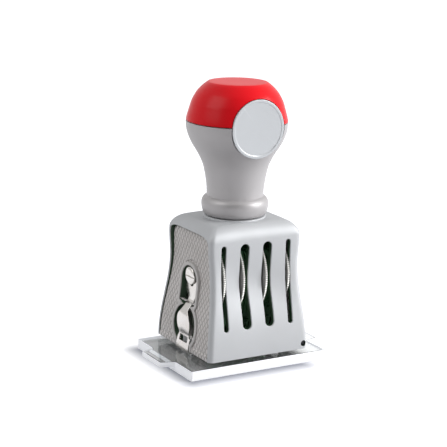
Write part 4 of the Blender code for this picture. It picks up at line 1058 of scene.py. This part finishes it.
screw = {
    "shankRadius": 0.7 * mm,
    "shoulderRadius": 1.2 * mm,
    "shoulderLength": 2.4 * mm,
    "headRadius": 3.4 * mm,
    "headHeight": 1.0 * mm,
    "crown": 0.35 * mm,
    "crownShare": 0.7,
    "edge": 0.25 * mm,
    "slotWide": 0.9 * mm,
    "slotDeep": 0.5 * mm,
}
pin = {"bevel": 0.2 * mm, "endShare": 0.75, "edge": 0.15 * mm}


def makeAxleScrew(label, side):
    # shank, shoulder and low crowned head turned about the axle's line, with a slot across the head
    low, high = span(f"axle_screw_{label}")
    start, end = sorted((abs(low[0]), abs(high[0])))
    under = end - screw["headHeight"]
    step = under - screw["shoulderLength"]
    shank, shoulder, radius = screw["shankRadius"], screw["shoulderRadius"], screw["headRadius"]
    profile = rounded([(0, start), (shank, start), (shank, step), (shoulder, step), (shoulder, under),
                       (radius, under), (radius, end - screw["crown"]), (radius * screw["crownShare"], end), (0, end)],
                      screw["edge"])
    piece = turned(f"axleScrew_{label}", profile * (1, side), (0, 0, axleHeight), "X", 64)
    wide, half = radius + mm, screw["slotWide"] / 2
    slot = [(-wide, axleHeight - half), (wide, axleHeight - half), (wide, axleHeight + half),
            (-wide, axleHeight + half)]
    carve(piece, [prismX("screwSlotForm", slot, side * (end - screw["slotDeep"]), side * (end + overrun))], 35)
    finish(piece, "nickel", nickel, stands=(f"axle_screw_{label}",))


def makePin():
    # a plain rod in the corner's hole, with a bevelled end
    low, high = span("retaining_pin")
    centre = (low + high) / 2
    radius = (high[0] - low[0]) / 2
    profile = rounded([(0, high[1]), (radius, high[1]), (radius, low[1] + pin["bevel"]),
                       (radius * pin["endShare"], low[1]), (0, low[1])], pin["edge"])
    piece = turned("cornerPin", profile, (centre[0], 0, centre[2]), "Y", 32)
    finish(piece, "dark_steel", darkSteel, stands=("retaining_pin",))


for label, side in sides:
    makeAxleScrew(label, side)
makePin()
print("screws and pin ready")

# Date bands: a rubber loop round drum and nose, with raised numerals

band = {
    "thickness": 1.0 * mm,
    "edge": 0.15 * mm,
    "typeRise": 0.8 * mm,
    "typeRoot": 0.1 * mm,
    "typeHeight": 4.0 * mm,
    "typeMargin": 0.8 * mm,
    "noseRadius": 2.4 * mm,
    "noseHeight": 4.5 * mm,
    "drumRadius": 11.3 * mm,
    "count": 14,
    "longestEdge": 0.25,  # of the font's size, before an edge is cut so that it can bend
}


def bandPath(offset, count):
    # the loop in (y, z) at an offset out from its inner face: drum arc, straight, nose arc, straight
    rise = axleHeight - band["noseHeight"]
    lean = math.degrees(math.asin((band["drumRadius"] - band["noseRadius"]) / rise))
    top = circle((0, axleHeight), band["drumRadius"] + offset, -lean, 180 + lean, 200)
    bottom = circle((0, band["noseHeight"]), band["noseRadius"] + offset, 180 + lean, 360 - lean, 80)
    loop = np.vstack([top, bottom, top[:1]])
    travelled = np.concatenate([[0], np.cumsum(np.linalg.norm(np.diff(loop, axis=0), axis=1))])
    places = np.linspace(0, travelled[-1], count, endpoint=False)
    return np.column_stack([np.interp(places, travelled, loop[:, i]) for i in (0, 1)]), travelled[-1]


def makeBand(label, numerals):
    # a rounded rectangle carried round the loop
    low, high = span(f"date_band_{label}")
    inner = bandPath(0.0, 300)[0]
    normal = outwardNormals(inner)
    half = (high[0] - low[0]) / 2
    middle = (high[0] + low[0]) / 2
    tall = band["thickness"]
    section = rounded([(-half, 0), (half, 0), (half, tall), (-half, tall)], band["edge"], 3, closed=True)
    path = inner[:, None] + normal[:, None] * section[None, :, 1:]
    x = np.broadcast_to(middle + section[:, 0], path.shape[:2])
    loop = skin(f"band_{label}", np.stack([x, path[..., 0], path[..., 1]], -1), closeRows=True, sharpAngle=50)
    finish(loop, "rubber", bandRubber, stands=(f"date_band_{label}",))
    makeType(label, numerals, middle, half)


def cutLongEdges(work):
    # triangles, with each long edge cut in half
    bmesh.ops.triangulate(work, faces=work.faces)
    longEdges = [edge for edge in work.edges if edge.calc_length() > band["longestEdge"]]
    bmesh.ops.subdivide_edges(work, edges=longEdges, cuts=1)


def numeralShape(text):
    # one numeral of a plain font as a flat mesh: its points, centred, and the corners of its faces
    curve = bpy.data.curves.new("numeral", "FONT")
    curve.body = text
    curve.align_x, curve.align_y = "CENTER", "CENTER"
    holder = linked("numeral", curve)
    bpy.context.view_layer.update()
    flat = bpy.data.meshes.new_from_object(holder.evaluated_get(bpy.context.evaluated_depsgraph_get()))
    bpy.data.objects.remove(holder, do_unlink=True)
    reworked(flat, cutLongEdges)
    points = np.array([vertex.co for vertex in flat.vertices])
    points[:, :2] -= (points[:, :2].max(0) + points[:, :2].min(0)) / 2
    return points, [list(polygon.vertices) for polygon in flat.polygons]


def makeType(label, numerals, middle, half):
    # numerals mirrored for printing, bent round the loop and given a thickness
    outer, length = bandPath(band["thickness"], 1200)
    normal = outwardNormals(outer)
    bottom = np.argmin(outer[:, 1])
    points, faces, offset = [], [], 0
    for number in range(band["count"]):
        flat, rings = numeralShape(numerals[number % len(numerals)])
        count = len(flat)
        size = flat.max(0) - flat.min(0)
        flat[:, 1] *= band["typeHeight"] / size[1]
        flat[:, 0] *= min(band["typeHeight"] / size[1], (2 * half - band["typeMargin"]) / size[0])
        where = bottom + (number / band["count"] * len(outer)) + flat[:, 1] / length * len(outer)
        index = np.round(where).astype(int) % len(outer)
        base = np.column_stack([middle - flat[:, 0], outer[index]])
        out = np.column_stack([np.zeros(count), normal[index]])
        points += [base - out * band["typeRoot"], base + out * band["typeRise"]]
        for ring in rings:
            faces.append([offset + count + corner for corner in ring])
            faces.append([offset + corner for corner in ring[::-1]])
        borders = [pair for ring in rings for pair in zip(ring, ring[1:] + ring[:1])]
        known = set(borders)
        for first, second in borders:
            if (second, first) not in known:
                faces.append([offset + first, offset + second, offset + count + second, offset + count + first])
        offset += 2 * count
    mesh = bpy.data.meshes.new(f"numerals_{label}")
    mesh.from_pydata(np.vstack(points).tolist(), [], faces)
    reworked(mesh, faceOutwards)
    finish(linked(f"numerals_{label}", mesh), "rubber", bandRubber)


for label, numerals in dates.items():
    makeBand(label, numerals)
print("bands ready")

# Die plate: polished faces, and edges left matt and white by the saw, with a painted glow on those edges

sawn = {"outerX": 18 * mm, "outerY": 8 * mm, "tabX": 22 * mm, "tabY": 6 * mm, "sharpAngle": 20}


def joinFlats(work):
    # triangles that lie in one plane become one face
    bmesh.ops.dissolve_limit(work, angle_limit=math.radians(1), verts=work.verts, edges=work.edges)


def markSawn(work):
    # upright faces of the plate's outline are sawn, those of its window and blind holes are polished
    for face in work.faces:
        middle = face.calc_center_median()
        x, y = abs(middle.x), abs(middle.y)
        outer = x > sawn["outerX"] or y > sawn["outerY"]
        holes = x < sawn["tabX"] and y < sawn["tabY"]
        face.material_index = 1 if outer and not holes and abs(face.normal.z) < 0.5 else 0


def makePlate():
    # a merged copy of the CAD mesh, with a material of its own on the sawn faces
    sheet = nodes["die_plate"].data.copy()
    reworked(sheet, mergeDoubles, joinFlats, markSawn)
    for attribute in [item for item in sheet.attributes if "normal" in item.name]:
        sheet.attributes.remove(attribute)
    piece = linked("clearPlate", sheet)
    sheet.shade_smooth()
    sheet.set_sharp_from_angle(angle=math.radians(sawn["sharpAngle"]))
    finish(piece, "clear", clearAcrylic, sawnEdge, body="plate", stands=("die_plate",))


makePlate()

# CAD nodes that keep their own shape get a finish

for node, material in (("handle_insert", brass), ("handle_bolt", darkSteel), ("lock_washer", nickel),
                       ("band_frame", nickel), ("band_bridge", nickel), ("bridge_screw_left", nickel),
                       ("bridge_screw_right", nickel), ("wheel_axle", darkSteel)):
    nodes[node].data.materials.clear()
    dress(nodes[node], material)
print("plate and kept nodes ready")

# Camera, light and floor

view = {
    "location": (-0.28173, -0.47082, 0.18480),
    "turn": -30.4762,  # degrees
    "tilt": 76.3471,
    "roll": 1.444,
    "lens": 120.76,
    "sensor": 36.0,
    "nearest": 0.01,
}
light = {
    "lamps": (("keyLamp", 15.5, 0.7, (0.82, -0.62, 0.50)), ("sideLamp", 4.4, 0.7, (-0.86, 0.06, 0.74))),
    "aim": (0, 0, 0.05),
    "skyFront": 0.09,
    "skyBack": 0.36,
    "glossFront": 0.06,
    "glossBack": 0.8,
    "front": (-0.42, -0.90, 0.12),
    "skyTurn": (-0.2, 0.8),  # cosines to the front direction between which sky and gloss go from back to front
    "glossTurn": (0.2, 0.88),
}
floorLook = {
    "half": 3.0,
    "drop": 0.02 * mm,
    "paper": (0.36, 0.37, 0.42),
    "bounce": (0.3, 0.3, 0.3),
    "liftNear": 0.02,
    "liftFar": 1.0,
    "liftReach": 8 * mm,
    # a box round the plate, set off towards the left front and covering the floor under it, inside which the floor is
    # not lifted: a painted shade, tinted by the paper's blue
    "shadeCentre": (-5.5 * mm, -1.4 * mm, 0.0),
    "shadeHalf": (23.5 * mm, 20.9 * mm, 1.0),
}


def makeCamera():
    # the rotations in turn, about Z, X and Z, then the place
    data = bpy.data.cameras.new("camera")
    data.lens = view["lens"]
    data.sensor_width = view["sensor"]
    data.sensor_fit = "HORIZONTAL"
    data.clip_start = view["nearest"]
    camera = linked("camera", data)
    turn, tilt, roll = (Matrix.Rotation(math.radians(view[key]), 4, axis)
                        for key, axis in (("turn", "Z"), ("tilt", "X"), ("roll", "Z")))
    camera.matrix_world = Matrix.Translation(view["location"]) @ turn @ tilt @ roll
    bpy.context.scene.camera = camera


def makeLamp(name, power, size, location):
    # a square lamp turned towards the object
    data = bpy.data.lights.new(name, "AREA")
    data.energy = power
    data.size = size
    lamp = linked(name, data)
    lamp.location = location
    lamp.rotation_euler = (Vector(light["aim"]) - Vector(location)).to_track_quat("-Z", "Y").to_euler()


def anyRay(tree, first, *others):
    # one where the ray is of any of the named kinds
    path = place(tree, "ShaderNodeLightPath").outputs
    found = path[first]
    for kind in others:
        found = calc(tree, "MAXIMUM", found, path[kind])
    return found


def makeWorld():
    # white where the camera or glass sees it; as a light and in reflections it is dim in front of the object
    world = bpy.data.worlds.new("studio")
    world.use_nodes = True
    tree = world.node_tree
    background = tree.nodes["Background"]
    background.inputs["Color"].default_value = (1, 1, 1, 1)
    direction = place(tree, "ShaderNodeTexCoord").outputs["Generated"]
    turn = calcVector(tree, "DOT_PRODUCT", direction, Vector(light["front"]).normalized())["Value"]
    diffuse = between(tree, turn, light["skyBack"], light["skyFront"], *light["skyTurn"])
    glossy = between(tree, turn, light["glossBack"], light["glossFront"], *light["glossTurn"])
    strength = place(tree, "ShaderNodeMix", {0: anyRay(tree, "Is Glossy Ray"), 2: diffuse, 3: glossy}).outputs[0]
    through = anyRay(tree, "Is Camera Ray", "Is Transmission Ray")
    strength = place(tree, "ShaderNodeMix", {0: through, 2: strength, 3: 1.0}).outputs[0]
    tree.links.new(strength, background.inputs["Strength"])
    bpy.context.scene.world = world


def makeFloor():
    # pale paper with the object's shadow; seen directly it is lifted to white away from a box round the plate, and
    # inside that box, which is set off towards the left front, it is left unlifted as a painted shade
    half = floorLook["half"]
    corners = np.array([(-half, -half, 0), (half, -half, 0), (half, half, 0), (-half, half, 0)], float)
    floor = makeMesh("floor", corners - (0, 0, floorLook["drop"]), np.array([[0, 1, 2, 3]]), outward=False)
    material = bpy.data.materials.new("floorPaper")
    material.use_nodes = True
    tree = material.node_tree
    tree.nodes.clear()
    spot = place(tree, "ShaderNodeTexCoord").outputs["Object"]
    # how far a point lies beyond the painted shade's box
    reach = calcVector(tree, "ABSOLUTE", calcVector(tree, "SUBTRACT", spot, floorLook["shadeCentre"])[0])[0]
    beyond = calcVector(tree, "SUBTRACT", reach, floorLook["shadeHalf"])[0]
    away = calcVector(tree, "LENGTH", calcVector(tree, "MAXIMUM", beyond)[0])["Value"]
    lift = between(tree, away, floorLook["liftNear"], floorLook["liftFar"], 0.0, floorLook["liftReach"])
    seen = calc(tree, "MULTIPLY", lift, anyRay(tree, "Is Camera Ray", "Is Glossy Ray", "Is Transmission Ray"))
    bounced = anyRay(tree, "Is Diffuse Ray", "Is Transmission Ray")
    shade = mixColour(tree, bounced, floorLook["paper"], floorLook["bounce"])
    paper = place(tree, "ShaderNodeBsdfDiffuse", {"Color": shade}).outputs[0]
    glow = place(tree, "ShaderNodeEmission", {"Strength": seen}).outputs[0]
    total = place(tree, "ShaderNodeAddShader", {0: paper, 1: glow}).outputs[0]
    place(tree, "ShaderNodeOutputMaterial", {"Surface": total})
    floor.data.materials.append(material)


makeCamera()
for lamp in light["lamps"]:
    makeLamp(*lamp)
makeWorld()
makeFloor()
bpy.context.scene.view_settings.view_transform = "Standard"
print("camera, light and floor ready")
